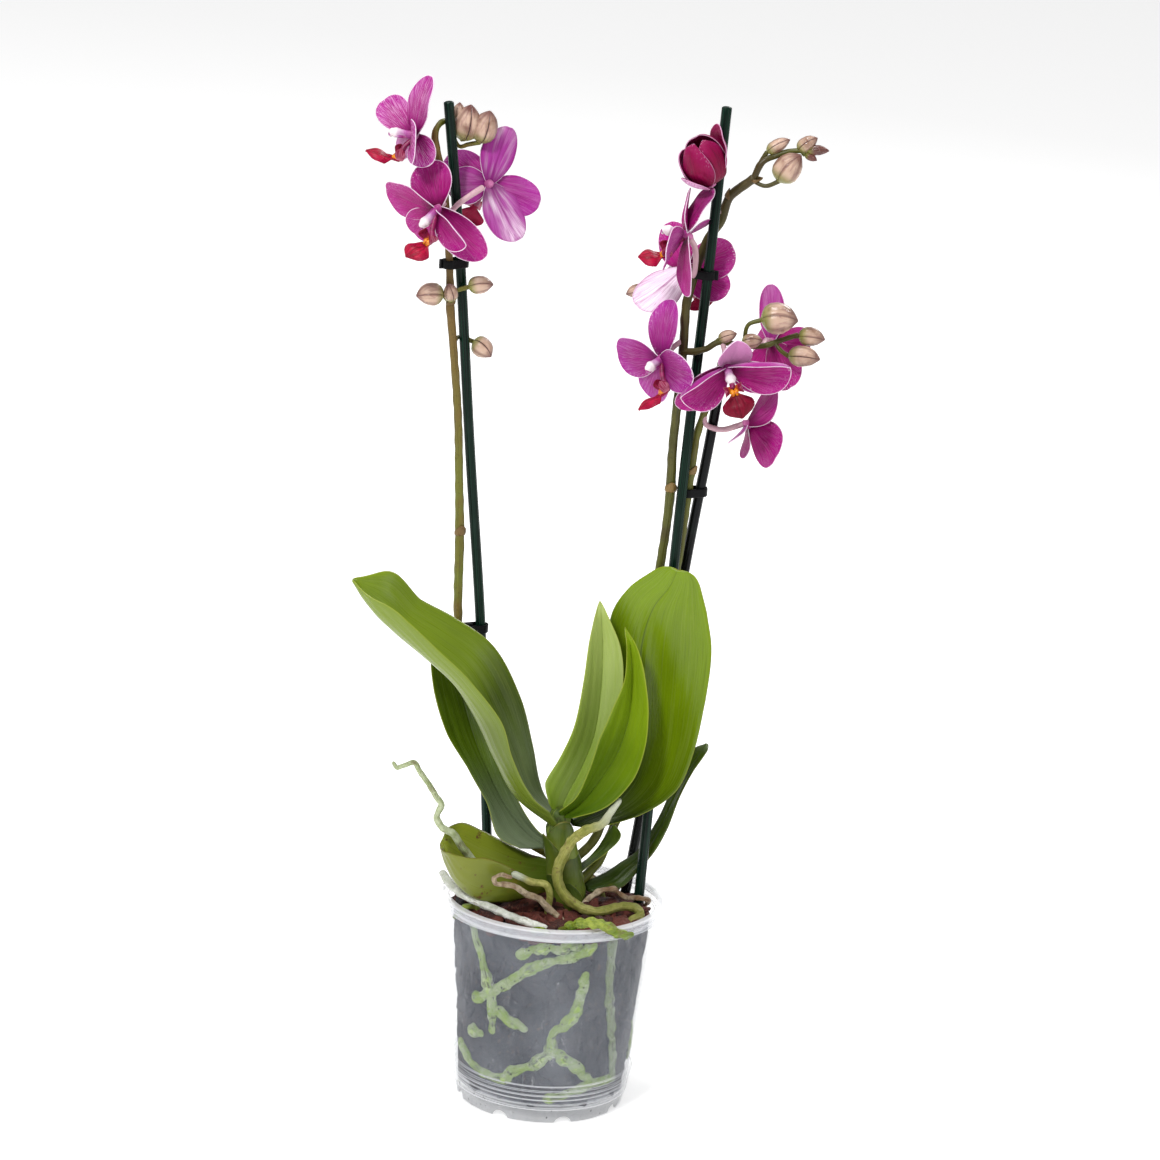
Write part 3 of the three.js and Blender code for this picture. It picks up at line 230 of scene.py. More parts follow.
class Paint:
    """A node material under construction."""

    def __init__(self, name):
        self.material = bpy.data.materials.new(name)
        self.material.use_nodes = True
        self.tree = self.material.node_tree
        self.shader = self.tree.nodes["Principled BSDF"]

    def coordinate(self, kind, scale):
        source = Value(self.tree, self.tree.nodes.new("ShaderNodeTexCoord").outputs[kind])
        return node(self.tree, "Mapping", source, Scale=scale)[0]

    def place(self, scale=(1, 1, 1)):
        """Object coordinates, in metres, stretched by `scale`."""
        return self.coordinate("Object", scale)

    def mapped(self, *scale):
        """The UV map, stretched by `scale`."""
        return self.coordinate("UV", (*scale, 1))

    def mark(self, name):
        """A number stored with the points of the mesh."""
        return node(self.tree, "Attribute", attribute_name=name)[2]

    def finish(self, colour, roughness=0.5, normal=None, **inputs):
        """Set or link the inputs of the surface and hand out the material."""
        inputs = {"Base_Color": colour, "Roughness": roughness, **inputs}
        if normal is not None:
            inputs["Normal"] = normal
        for key, value in inputs.items():
            feed(self.tree, self.shader.inputs[SHORT_NAMES.get(key, key.replace("_", " "))], value)
        return self.material


# ---------------------------------------------------------------- curves


def vector(v):
    return np.array(v, float)


def unit(v):
    v = np.asarray(v, float)
    return v / np.maximum(np.linalg.norm(v, axis=-1, keepdims=True), 1e-12)


def square_to(v, axis):
    """The direction of the part of v that is square to the unit vector axis."""
    v = np.asarray(v, float)
    return unit(v - (v * axis).sum(-1, keepdims=True) * axis)


def smoothly(low, high, x):
    """A smooth step of x from 0 at `low` to 1 at `high`."""
    t = np.clip((np.asarray(x, float) - low) / (high - low), 0, 1)
    return t * t * (3 - 2 * t)


def along_curve(points, places):
    """Points of the smooth centripetal curve through `points`, at places counted in points."""
    p = np.asarray(points, float)
    p = np.vstack([2 * p[:1] - p[1:2], p, 2 * p[-1:] - p[-2:-1]])
    places = np.clip(np.asarray(places, float), 0, len(points) - 1)
    k = np.minimum(places.astype(int), len(points) - 2)
    w = (places - k)[:, None]
    a, b, c, d = p[k], p[k + 1], p[k + 2], p[k + 3]
    gap = [np.sqrt(np.linalg.norm(q - r, axis=1, keepdims=True)) for q, r in ((b, a), (c, b), (d, c))]
    gap[1] = np.where(gap[1] < 1e-4, 1, gap[1])
    gap[0] = np.where(gap[0] < 1e-4, gap[1], gap[0])
    gap[2] = np.where(gap[2] < 1e-4, gap[1], gap[2])
    first = (b - a) / gap[0] - (c - a) / (gap[0] + gap[1]) + (c - b) / gap[1]
    last = (c - b) / gap[1] - (d - b) / (gap[1] + gap[2]) + (d - c) / gap[2]
    m, n = first * gap[1], last * gap[1]
    return b + w * m + w**2 * (-3 * b + 3 * c - 2 * m - n) + w**3 * (2 * b - 2 * c + m + n)


def running_length(points):
    """How far along the line each of its points lies."""
    return np.concatenate([[0], np.cumsum(np.linalg.norm(np.diff(points, axis=0), axis=1))])


def evenly(points, step):
    """Places, points and lengths along that curve at even steps."""
    fine = np.linspace(0, len(points) - 1, 40 * len(points))
    length = running_length(along_curve(points, fine))
    count = max(4, int(math.ceil(length[-1] / step)) + 1)
    wanted = np.linspace(0, length[-1], count)
    places = np.interp(wanted, length, fine)
    return places, along_curve(points, places), wanted


def ripple(points, size, seed, waves=8):
    """Smooth noise of about -1 to 1 at points, with features of about `size`."""
    r = np.random.default_rng(seed)
    total = np.zeros(points.shape[:-1])
    for _ in range(waves):
        direction = r.normal(size=3)
        direction *= TAU / (size * (0.7 + 0.9 * r.random()) * np.linalg.norm(direction))
        total += np.sin(points @ direction + TAU * r.random())
    return total / math.sqrt(waves)


def down_column(count, power=1.0):
    """Places from 0 to 1, as a column, closer together toward 1."""
    return (1 - (1 - np.linspace(0, 1, count)) ** power)[:, None]


def across_row(count, ease=0.5):
    """Places from -1 to 1, as a row, closer together toward both ends."""
    line = np.linspace(-1, 1, count)
    return (ease * np.sin(math.pi / 2 * line) + (1 - ease) * line)[None, :]


def spread(origin, *parts):
    """A grid of points: the origin plus each direction times its grid of lengths."""
    total = origin
    for direction, lengths in parts:
        total = total + direction * lengths[..., None]
    return total


def thinned(edge, reach):
    """How thick a blade is near its margin, as a share, where it thins out over `reach`."""
    return np.minimum(1, np.sqrt(edge / reach + 1e-4))


# ---------------------------------------------------------------- meshes


class Shape:
    """Points, faces and their maps, gathered until the mesh is made."""

    def __init__(self, *marks):
        self.points, self.faces, self.maps, self.kinds = [], [], [], []
        self.marks = {name: [] for name in marks}
        self.count = 0

    def add(self, points, faces, maps, kind=0, **marks):
        """Add points, faces with a UV map each, the number of their material, and marks."""
        points = np.asarray(points, float).reshape(-1, 3)
        self.points.append(points)
        for face, corner in zip(faces, maps):
            self.faces.append(np.asarray(face) + self.count)
            self.maps.append(np.asarray(corner, float))
            self.kinds.append(np.full(len(face), kind))
        for name, values in self.marks.items():
            given = np.asarray(marks.get(name, 0.0), float)
            values.append(np.broadcast_to(given.ravel(), (len(points),)))
        self.count += len(points)


def lattice(rows, columns, closed=False):
    """The quads of a grid of points and the row and column of each of their corners."""
    i = np.arange(rows - 1)[:, None]
    j = np.arange(columns if closed else columns - 1)[None, :]
    corners = []
    for di, dj in ((0, 0), (0, 1), (1, 1), (1, 0)):
        number = (i + di) * columns + (j + dj) % columns
        corners.append(np.broadcast_arrays(number, i + di, j + dj))
    return [np.stack(part, -1).reshape(-1, 4) for part in zip(*corners)]


def make(name, shape, materials, node_name, sharp=None):
    """The Blender object of a shape, which stands for a CAD node and rides with the plant."""
    mesh = bpy.data.meshes.new(name)
    points = np.concatenate(shape.points) * MM
    sizes = np.concatenate([np.full(len(f), f.shape[1]) for f in shape.faces])
    corners = np.concatenate([f.ravel() for f in shape.faces])
    mesh.vertices.add(len(points))
    mesh.vertices.foreach_set("co", points.ravel())
    mesh.loops.add(len(corners))
    mesh.loops.foreach_set("vertex_index", corners.astype(np.int32))
    mesh.polygons.add(len(sizes))
    mesh.polygons.foreach_set("loop_start", np.concatenate([[0], np.cumsum(sizes)[:-1]]).astype(np.int32))
    mesh.polygons.foreach_set("material_index", np.concatenate(shape.kinds).astype(np.int32))
    mesh.update(calc_edges=True)
    layer = mesh.uv_layers.new(name="map")
    layer.data.foreach_set("uv", np.concatenate([m.reshape(-1, 2) for m in shape.maps]).ravel())
    for key, values in shape.marks.items():
        mesh.attributes.new(key, "FLOAT", "POINT").data.foreach_set("value", np.concatenate(values))
    build = bmesh.new()
    build.from_mesh(mesh)
    bmesh.ops.recalc_face_normals(build, faces=build.faces)
    build.to_mesh(mesh)
    build.free()
    mesh.polygons.foreach_set("use_smooth", np.ones(len(mesh.polygons), bool))
    if sharp:
        mesh.set_sharp_from_angle(angle=math.radians(sharp))
    for material in materials:
        mesh.materials.append(material)
    piece = add_object(name, mesh)
    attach(piece, "root")
    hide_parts(node_name)


def tube(shape, rings, tips, lengths, kind=0, **marks):
    """A bar through rings of points, closed at each end by a fan of triangles round a tip."""
    rows, sides = rings.shape[:2]
    faces, row, column = lattice(rows, sides, closed=True)
    k = np.arange(sides)
    after, last = (k + 1) % sides, (rows - 1) * sides
    fans = [np.stack([np.full(sides, rows * sides), after, k], -1),
            np.stack([np.full(sides, rows * sides + 1), last + k, last + after], -1)]
    round_end = np.stack([k / sides] * 3, -1)
    ends = [np.stack([round_end, np.full((sides, 3), v / 10)], -1) for v in (0, lengths[-1])]
    maps = [np.stack([column / sides, lengths[row] / 10], -1), *ends]
    shape.add(np.vstack([rings.reshape(-1, 3), tips]), [faces, *fans], maps, kind, **marks)


DOME = np.array([0.45, 0.85, 1.2, 1.42])  # angles of the rings that round off an end


def sweep(shape, path, radii, step, sides=16, squash=1.0, away=None, rough=0.0, grain=5.0, seed=0,
          section=None, caps=(0.5, 0.5), kind=0, **marks):
    """A round bar along a curve with domed ends; `section` scales the radius by angle, `away` gives
    the direction it is squashed in, and `rough` is the height of its lumps as a share."""
    places, centres, lengths = evenly(path, step)
    radius = np.interp(places, np.arange(len(path)), np.broadcast_to(radii, (len(path),)))
    start = unit(centres[1] - centres[0]) * caps[0]
    end = unit(centres[-1] - centres[-2]) * caps[1]
    centres = np.vstack([
        [centres[0] - start * radius[0] * math.sin(a) for a in DOME[::-1]],
        centres,
        [centres[-1] + end * radius[-1] * math.sin(a) for a in DOME],
    ])
    lengths = np.concatenate([[lengths[0]] * 4, lengths, [lengths[-1]] * 4])
    radius = np.concatenate([radius[0] * np.cos(DOME[::-1]), radius, radius[-1] * np.cos(DOME)])
    first, last = centres[1:2] - centres[:1], centres[-1:] - centres[-2:-1]
    along = unit(np.vstack([first, centres[2:] - centres[:-2], last]))
    across = np.zeros_like(along)
    guide = np.cross(along[0], away(centres[0]) if away else (0.1, 0.05, 1.0))
    for k in range(len(along)):
        if away:
            guide = np.cross(along[k], away(centres[k]))
        guide = square_to(guide, along[k])
        across[k] = guide
    other = np.cross(along, across)
    angle = TAU * np.arange(sides) / sides
    turn = angle[None, :, None]
    wide = np.cos(turn) * across[:, None] + squash * np.sin(turn) * other[:, None]
    scale = radius[:, None] * (section(angle)[None, :] if section else np.ones(sides))
    if rough:
        smooth = centres[:, None] + wide * scale[..., None]
        scale = scale * (1 + rough * ripple(smooth, grain, seed))
    rings = centres[:, None] + wide * scale[..., None]
    tips = [centres[0] - start * radius[0] * 0.05, centres[-1] + end * radius[-1] * 0.05]
    share = np.repeat(lengths / max(lengths[-1], 1e-6), sides)
    tube(shape, rings, tips, lengths, kind, along=np.concatenate([share, [0, 1]]), **marks)


def blade(shape, middle, thickness, face, maps, kind=0, **marks):
    """A closed thin blade around a grid of points: thin at its margin, where both faces meet."""
    grid = middle.shape[:2]
    count = grid[0] * grid[1]
    normal = unit(np.cross(np.gradient(middle, axis=0), np.gradient(middle, axis=1)))
    if (normal * face).sum() < 0:
        normal = -normal
    lift = normal * np.broadcast_to(thickness, grid)[..., None] / 2
    inner = np.zeros(grid, bool)
    inner[1:-1, 1:-1] = True
    top = np.where(inner[..., None], middle + lift, middle).reshape(-1, 3)
    under = (middle - lift)[inner]
    below = np.arange(count).reshape(grid)
    below[inner] = count + np.arange(inner.sum())
    faces, row, column = lattice(*grid)
    corner = np.stack([np.broadcast_to(m, grid)[row, column] for m in maps], -1)
    given = {key: np.broadcast_to(value, grid) for key, value in marks.items()}
    given["side"] = np.where(inner, 1.0, 0.5)
    given = {key: np.concatenate([value.ravel(), value[inner]]) for key, value in given.items()}
    given["side"][count:] = 0.0
    both = [faces, below.ravel()[faces][:, ::-1]]
    shape.add(np.vstack([top, under]), both, [corner, corner[:, ::-1]], kind, **given)


# ---------------------------------------------------------------- measured places (millimetres)

STAKES = {
    "left": [
        [-81.5, 30, 528.5], [-72, 31, 457], [-59.5, 32, 345], [-47.5, 32, 244], [-38, 31, 138.5],
        [-33, 30, 84],
    ],
    "tall": [
        [61.5, 34, 535], [58.5, 29, 456], [54.5, 24, 371.5], [51.5, 18, 293], [47.5, 9, 160], [45, 5, 84],
    ],
    "short": [[69.5, 33, 396], [65.5, 32, 356.5], [59, 31, 300.5], [43.5, 25, 149.5], [36, 23, 84]],
}

SPIKES = {
    "left": {
        "stem": [
            [-86, 27, 504], [-84, 27, 496.5], [-80.5, 26, 481], [-75.5, 25.5, 440], [-74.5, 26, 424.5],
            [-71.5, 26, 402], [-66.5, 26, 362], [-64, 26, 329], [-62, 26, 301], [-60, 26, 253.5],
            [-55.5, 26, 219.5], [-47, 25, 187], [-34, 21, 155.5], [-19.5, 15, 139.5], [-3, 8, 132],
        ],
        "branches": [
            [[-86, 27, 504], [-87.5, 27.5, 512], [-85.5, 31, 517], [-81, 37, 517.5], [-75.5, 38, 515]],
        ],
        "stalks": [
            [[-86, 27, 504], [-89.5, 25, 506], [-94, 21, 510.5]],
            [[-78, 26, 467], [-77, 25, 472], [-72, 25, 478], [-66.5, 27.5, 482], [-61.5, 31.5, 485]],
            [[-80, 26, 477], [-82.5, 20, 476], [-84.5, 15.5, 477]],
        ],
        "buds": [
            ([[-81, 37, 517], [-77, 37, 518]], [-76, 36, 528], 6.5),
            ([[-75.5, 38, 514], [-73.5, 37, 508]], [-70, 34, 527.5], 14.5),
            (
                [[-81, 37, 516], [-75, 38.5, 504.5], [-70.5, 37, 506], [-64.5, 37, 507.5]],
                [-60, 34, 525], 13.5,
            ),
            ([[-74.5, 26, 424], [-78, 22, 429]], [-92, 18, 428.5], 12),
            ([[-74.7, 26, 425], [-73.7, 23, 426]], [-75.5, 18, 436], 7.5),
            ([[-74.5, 26, 424.5], [-72, 23, 431], [-65.5, 25, 433.5]], [-52.5, 26, 435.5], 9.5),
            ([[-71.5, 26, 402], [-69, 34, 404.5], [-61.5, 37, 402]], [-51.5, 34, 395], 11),
        ],
        "joints": [4, 8],
    },
    "middle": {
        "stem": [
            [78, 37, 498.5], [66.5, 38.5, 487.5], [63, 38.5, 475], [57, 37.5, 465], [53, 34, 453.5],
            [50.5, 29, 445], [48, 24, 433], [48, 22.5, 410.5], [47, 24, 374.5], [46.5, 25, 354],
            [47, 26, 332.5], [46.5, 27, 315.5], [44.5, 28.5, 290], [42, 28.5, 268.5], [39, 27, 243.5],
            [34, 24, 210.5], [29.5, 20, 178], [25, 16, 153.5], [19, 12, 139], [9, 8, 129],
        ],
        "branches": [
            [[78, 37, 498.5], [82, 37, 507.5], [88.5, 38, 511], [96, 38, 514], [104, 37, 515]],
            [
                [47.8, 22, 408], [54, 19, 409], [60, 17, 411.5], [66, 16, 415.5], [77, 16, 415],
                [89, 17, 415], [98.5, 18, 418.5], [106.5, 19.5, 421.5],
            ],
        ],
        "stalks": [
            [[63, 38, 479], [58.5, 38.5, 486], [56, 33, 492.5], [56.3, 27, 496]],
            [[50.5, 29, 445], [51.2, 24, 453], [50, 18, 464.5], [47, 15, 469.5]],
            [[50.5, 29, 445], [48.5, 33, 449], [45.2, 37.5, 449]],
            [[47.8, 22.5, 414], [43, 20, 410.5], [39, 16.5, 406.5]],
            [[68, 16, 415.5], [69.5, 12.5, 411], [70.6, 8.8, 406.5]],
            [[89, 17, 415], [90.5, 26, 415.5], [92, 35, 413.8], [93.7, 41, 412]],
        ],
        "buds": [
            ([[79, 37, 501], [81.5, 38.5, 508], [84, 38.5, 512.5]], [95.5, 39, 520], 7),
            ([[77, 37, 497.5], [84.5, 35, 495.5], [91, 34, 498.5]], [101.5, 33, 513.5], 14.5),
            ([[96, 38, 514], [100, 38, 514.5]], [109.5, 38, 522], 8),
            ([[101, 37.5, 515], [104, 37, 515]], [116, 36, 516], 5.5),
            ([[101, 37.5, 515], [103.5, 36.5, 513]], [110, 35.5, 510.5], 4),
            ([[63, 16.5, 414], [66, 15.5, 417]], [75, 13, 421.5], 6.5),
            ([[75, 16, 415], [78, 13.5, 416.5]], [88.5, 11.5, 419], 8),
            ([[79, 15.5, 415], [80.5, 13, 426.5], [87, 13, 429.5]], [106, 12, 430.5], 16.5),
            ([[104, 19, 420.5], [107, 19, 421]], [121, 19, 420], 10),
            ([[95, 17.5, 417], [98.5, 15, 413.5], [102.5, 15, 411]], [119, 12, 411], 11),
            ([[50.5, 29, 444], [47, 40, 440], [37, 48, 436], [27, 48, 433.5]], [16.5, 47, 430.5], 7.5),
        ],
        "joints": [10],
        "bracts": [0, 1, 5],
    },
    "right": {
        "stem": [
            [67.5, 24.5, 400], [65, 27, 384.5], [61.5, 28, 374], [58.5, 28.5, 360.5], [57, 28.5, 342],
            [55.5, 27.5, 318], [54, 26, 297.5], [50.5, 24.5, 261], [45.5, 22.5, 222], [40, 21.5, 189],
            [34, 20.5, 160.5], [27.5, 16.5, 139.7], [22.5, 13, 127.2], [12, 6, 116.5],
        ],
        "branches": [],
        "stalks": [[[61.5, 28, 374], [63, 27, 368.5], [71.5, 26.5, 366.5], [82, 25.3, 370.5]]],
        "buds": [([[67.3, 24.7, 398], [67.6, 24, 400]], [70, 22, 407], 4.4)],
        "joints": [4],
    },
}

CLIPS = {
    "left_top": ([-76, 25.6, 445], [-70.2, 31.1, 445], [-81, 24, 445], [-66.5, 31, 445]),
    "left_low": ([-59.3, 26, 248], [-48, 32, 248], [-55.5, 29, 248], [-44.5, 33, 248]),
    "right_top": ([51.5, 31, 448], [58.2, 28.6, 448], [42, 31, 448.5], [63.5, 28, 448]),
    "right_low": ([56.1, 28, 331], [62.4, 31.6, 331], [53, 27, 331], [66, 33, 331]),
}

LEAVES = {
    "left": [
        [[-113.5, -30, 288], [-114.5, -29, 287.5], [-114, -28, 288.5]],
        [[-96.5, -38, 278], [-100, -30, 270.5], [-95.5, -18, 290]],
        [[-84, -42, 270.5], [-88.5, -30, 260.5], [-79.5, -9, 273.5]],
        [[-68, -42, 255.5], [-73, -28, 248], [-61.5, -3, 262.5]],
        [[-51, -40, 239.5], [-58, -25, 234.5], [-41, 0, 248]],
        [[-33.5, -37, 219], [-45, -22, 214.5], [-25, 2, 222]],
        [[-26, -31, 197], [-34, -18, 192], [-16.5, 2, 196]],
        [[-15.5, -24, 176], [-22, -14, 171.5], [-10.5, 2, 173.5]],
        [[-3, -16, 162], [1.5, -9, 153], [-5, 2, 161]],
    ],
    "right": [
        [[52.5, 4.5, 294.6], [53.6, 4, 295.2], [56, 3.5, 294.8]],
        [[39.5, 8.5, 291.5], [50, 7, 285], [65.5, 0.5, 288]],
        [[29.5, 12, 282], [42.5, 10, 272], [70, -2, 274]],
        [[21, 15, 266.5], [38, 13, 251.5], [73.5, -5, 255.5]],
        [[19.5, 17, 242], [38.5, 14, 225], [73, -7, 228.5]],
        [[20, 17, 214.5], [40.5, 14, 200.5], [69.5, -8, 201]],
        [[19.5, 15, 190], [37.5, 11, 179.5], [62, -8, 178.5]],
        [[17, 11, 171], [28, 6, 164], [45.5, -6, 163.5]],
        [[5, 1, 157.5], [8, -3, 153], [20, -6, 153]],
    ],
    "mid_front": [
        [[28, -5, 264.5], [28, -4, 264.5], [28.5, -5, 264.5]],
        [[29.5, -9, 256], [31.5, -4, 253.5], [35, -7, 255]],
        [[30, -12, 239], [34, -3, 231], [41, -11, 236]],
        [[25, -14, 224], [33.5, -4, 214], [43.5, -15, 221]],
        [[19, -15, 207], [29, -5, 195.5], [43, -19, 204]],
        [[14.5, -16, 188], [21.5, -8, 182], [38, -22, 187]],
        [[9, -16, 173], [12.5, -10, 169], [25, -22, 171]],
        [[0, -15, 164], [1.5, -9, 159], [7.5, -17, 161.5]],
    ],
    "mid_back": [
        [[13.5, 3, 275], [14, 4, 275.5], [14.5, 4, 275]],
        [[11.5, 1, 267], [16, 7, 262], [19.5, 3, 267]],
        [[9.5, -2, 253], [17.5, 8, 246.5], [26.5, 3, 252]],
        [[8, -4, 233], [18, 8, 225.5], [29.5, 4, 232]],
        [[5, -6, 209], [16, 7, 200.5], [27, 5, 206]],
        [[-1, -8, 192.5], [10.5, 4, 183], [20, 4, 185.5]],
        [[-8, -9, 178], [3.5, 0, 167.5], [13, 3, 168.5]],
        [[-5, -9, 166], [0, -4, 157], [4, 1, 159]],
    ],
    "left_back": [
        [[-70, 14, 254], [-69, 15, 254.5], [-68, 14, 254.5]],
        [[-73, 9, 241], [-63.5, 17, 238], [-54.5, 12, 242.5]],
        [[-70, 6, 220], [-56, 17, 216.5], [-41, 9, 223.5]],
        [[-61.5, 4, 196], [-47, 16, 191.5], [-31, 7, 197.5]],
        [[-49.5, 3, 179], [-39.5, 14, 175], [-26.5, 6, 174]],
        [[-38.5, 1, 161.5], [-28.5, 11, 156.5], [-19.5, 4, 158.5]],
        [[-31.5, -3, 144], [-16.5, 7, 144], [-10, 2, 147]],
        [[-19, -5, 138.5], [-4, 1, 138], [-2, -1, 143]],
    ],
    "low_right": [
        [[76, 26, 193.5], [76.5, 26, 194], [77, 26, 193]],
        [[69.5, 24, 191.5], [73, 20, 190.5], [76, 18, 191.5]],
        [[64, 24, 180.5], [67.5, 19, 180], [70.5, 16, 182]],
        [[58, 23, 164], [61, 18, 164], [64.5, 14, 168.5]],
        [[52, 21, 149.5], [55, 16, 148.5], [58.5, 13, 149]],
        [[43.5, 19, 134.5], [47.5, 14.5, 134], [52, 12, 135.5]],
        [[34.5, 17, 127.5], [39, 11, 125.5], [44, 9.5, 124.5]],
        [[26.5, 14, 122], [31.5, 8, 119], [37, 6, 117.5]],
        [[15, 8, 117], [18, 2, 115.5], [24, 0, 115.5]],
    ],
    "low_left": [
        [[-59.5, -22, 143], [-60.5, -20, 142.5], [-59.5, -18, 146]],
        [[-55.5, -33, 144], [-56.5, -26, 136], [-58, -10, 149]],
        [[-48, -38, 143.5], [-50, -28, 126], [-50.5, -2, 150]],
        [[-37.5, -38, 143.5], [-38, -27, 117.5], [-39, 2, 144.5]],
        [[-26, -34, 139], [-26, -23, 116], [-25.5, 4, 137.5]],
        [[-16, -27, 131.5], [-14, -17, 117.5], [-13.5, 5, 132.5]],
        [[-5, -15, 124], [0, -7, 118], [-1, 4, 130]],
    ],
    "small": [
        [[29.5, 13, 149], [30, 13, 149.5], [30.5, 13, 149]],
        [[26.5, 12, 145], [29.5, 9.5, 144.6], [34, 8, 145.5]],
        [[22.5, 10, 138], [24.5, 6.5, 136.6], [28.5, 5, 138]],
        [[17.5, 7, 132], [18, 3, 131], [21.5, 1, 132.5]],
        [[10, 4, 126], [10.5, 0, 126], [14.5, -1, 126.5]],
    ],
}

AERIAL_ROOTS = {
    "tall": (
        "tall", [1.2, 1.3, 1.4, 1.5, 1.6, 1.7, 1.8, 1.9, 2, 2.1, 2.2, 2.3, 2.4, 2.4],
        [
            [-87.5, -22, 186.5], [-86, -22, 184.5], [-82.5, -22, 186], [-77, -22, 188], [-74, -22, 183.5],
            [-69, -22, 177], [-64, -22, 169.5], [-61.5, -22, 166], [-63.5, -22, 159], [-60.5, -22, 153.5],
            [-54, -21, 149.5], [-50.5, -20, 144], [-44, -19, 136], [-36, -19, 126],
        ],
    ),
    "white": (
        "white", 2.4,
        [
            [-58.5, -4, 121], [-57, -8, 120], [-53.5, -14, 118.5], [-49, -20, 117], [-43, -24, 115.5],
            [-37.5, -27, 114.5], [-28.5, -31, 112.5], [-20.5, -35, 111], [-12.5, -39, 110],
            [-4, -42, 108.5], [-1, -42, 106.5],
        ],
    ),
    "thick": (
        "pale", [1.7, 2.2, 2.7, 3, 3.1, 3.2, 3.2, 3.2, 3.1, 3, 2.9, 2.8, 2.6, 2.3, 1.8],
        [
            [31, -20, 173.5], [27.5, -21, 168], [23.5, -22, 161.5], [15, -21.5, 157], [9, -20, 151],
            [4, -19, 141], [1.5, -18.5, 132], [2.5, -19, 126], [6.5, -20, 119.5], [13.5, -21, 114.5],
            [24, -20, 111.5], [36, -12, 112.5], [44.5, -11, 112], [47, -16, 110.5], [42, -20, 108],
        ],
    ),
    "curled": (
        "dry", [1.2, 1.3, 1.4, 1.5, 1.6, 1.8, 2, 2, 2, 1.8],
        [
            [-23, -40, 134.8], [-28, -41, 136], [-31, -41, 134], [-30, -40.5, 131], [-25.5, -40, 130.5],
            [-21, -38, 129.5], [-14.5, -33, 124], [-6.5, -28, 118.5], [1, -27, 112], [8, -29, 106],
        ],
    ),
    "short": (
        "pale", 2.1,
        [
            [-20, -31, 133], [-10, -27, 128], [-4, -26, 127], [-1.5, -25, 121.5], [-2, -22.5, 113.5],
            [-2, -21, 105],
        ],
    ),
    "rim": (
        "green", [2, 2.4, 2.8, 3, 3, 2.8, 2.2],
        [
            [5, -38, 105], [9, -46, 111.5], [17, -52, 116.4], [24.5, -55, 117.6], [31.5, -56.5, 115.6],
            [37, -54, 112.6], [42, -50, 111],
        ],
    ),
    "looped": (
        "dry", [1.6, 1.7, 1.8, 1.7, 1.6, 1.5, 1.6, 1.6, 1.4],
        [
            [16, -9, 110], [20, -5, 114.5], [25, -3, 117.5], [32, -1.5, 118], [37.5, 0, 114],
            [42, 2, 113], [47, -1, 114], [51, 3, 111.5], [49, 9, 106],
        ],
    ),
    "yellow": ("green", 1.6, [[-12, -46, 105], [-8, -49, 109.5], [-3, -50, 110], [1, -47, 105.5]]),
    "green": ("green", 1.8, [[-50, -20, 104], [-45.5, -22, 109.5], [-40, -20, 110], [-34, -25, 105]]),
    "stub": ("pale", 2.2, [[12, 10, 121], [19, 13, 118.5], [25, 12, 113], [27, 11, 106]]),
}

WALL_ROOTS = {
    "upper": [
        [[-50, 103], [-46, 95], [-40.5, 85], [-37, 75], [-35, 64], [-34, 49]],
        [
            [25, 102], [18, 98.5], [12, 96.5], [-1.5, 92.5], [-13.5, 86], [-22, 79.5], [-31.5, 73],
            [-47, 63.5],
        ],
        [[16, 102.5], [6, 101.5], [-4, 101], [-15.5, 96.5]],
    ],
    "lower": [
        [
            [23.5, 85.5], [21.5, 73.5], [16, 60], [6.5, 52.5], [4.5, 41.5], [-2.5, 35], [-14, 30],
            [-26, 22.5], [-39.5, 21.5], [-52, 24.5], [-68, 31],
        ],
        [[-28, 60], [-20.5, 56], [-13, 53.5]], [[4.5, 43], [13, 38.5], [22, 33], [35, 23]],
        [[-51, 43.5], [-44, 44.5]],
    ],
    "right": [[[38, 103], [41, 81.5], [44, 65], [47.5, 50.5], [53, 34], [57, 20]]],
    "foot": [[[8, 14], [20, 17], [32, 20.5], [52, 21.5]]],
    "back_left": [[[-150, 100], [-140, 78], [-146, 52], [-128, 34], [-110, 28]]],
    "back": [[[165, 98], [172, 74], [160, 50], [176, 30], [200, 24]]],
    "back_right": [[[118, 101], [108, 80], [114, 58], [100, 38], [92, 24]]],
}

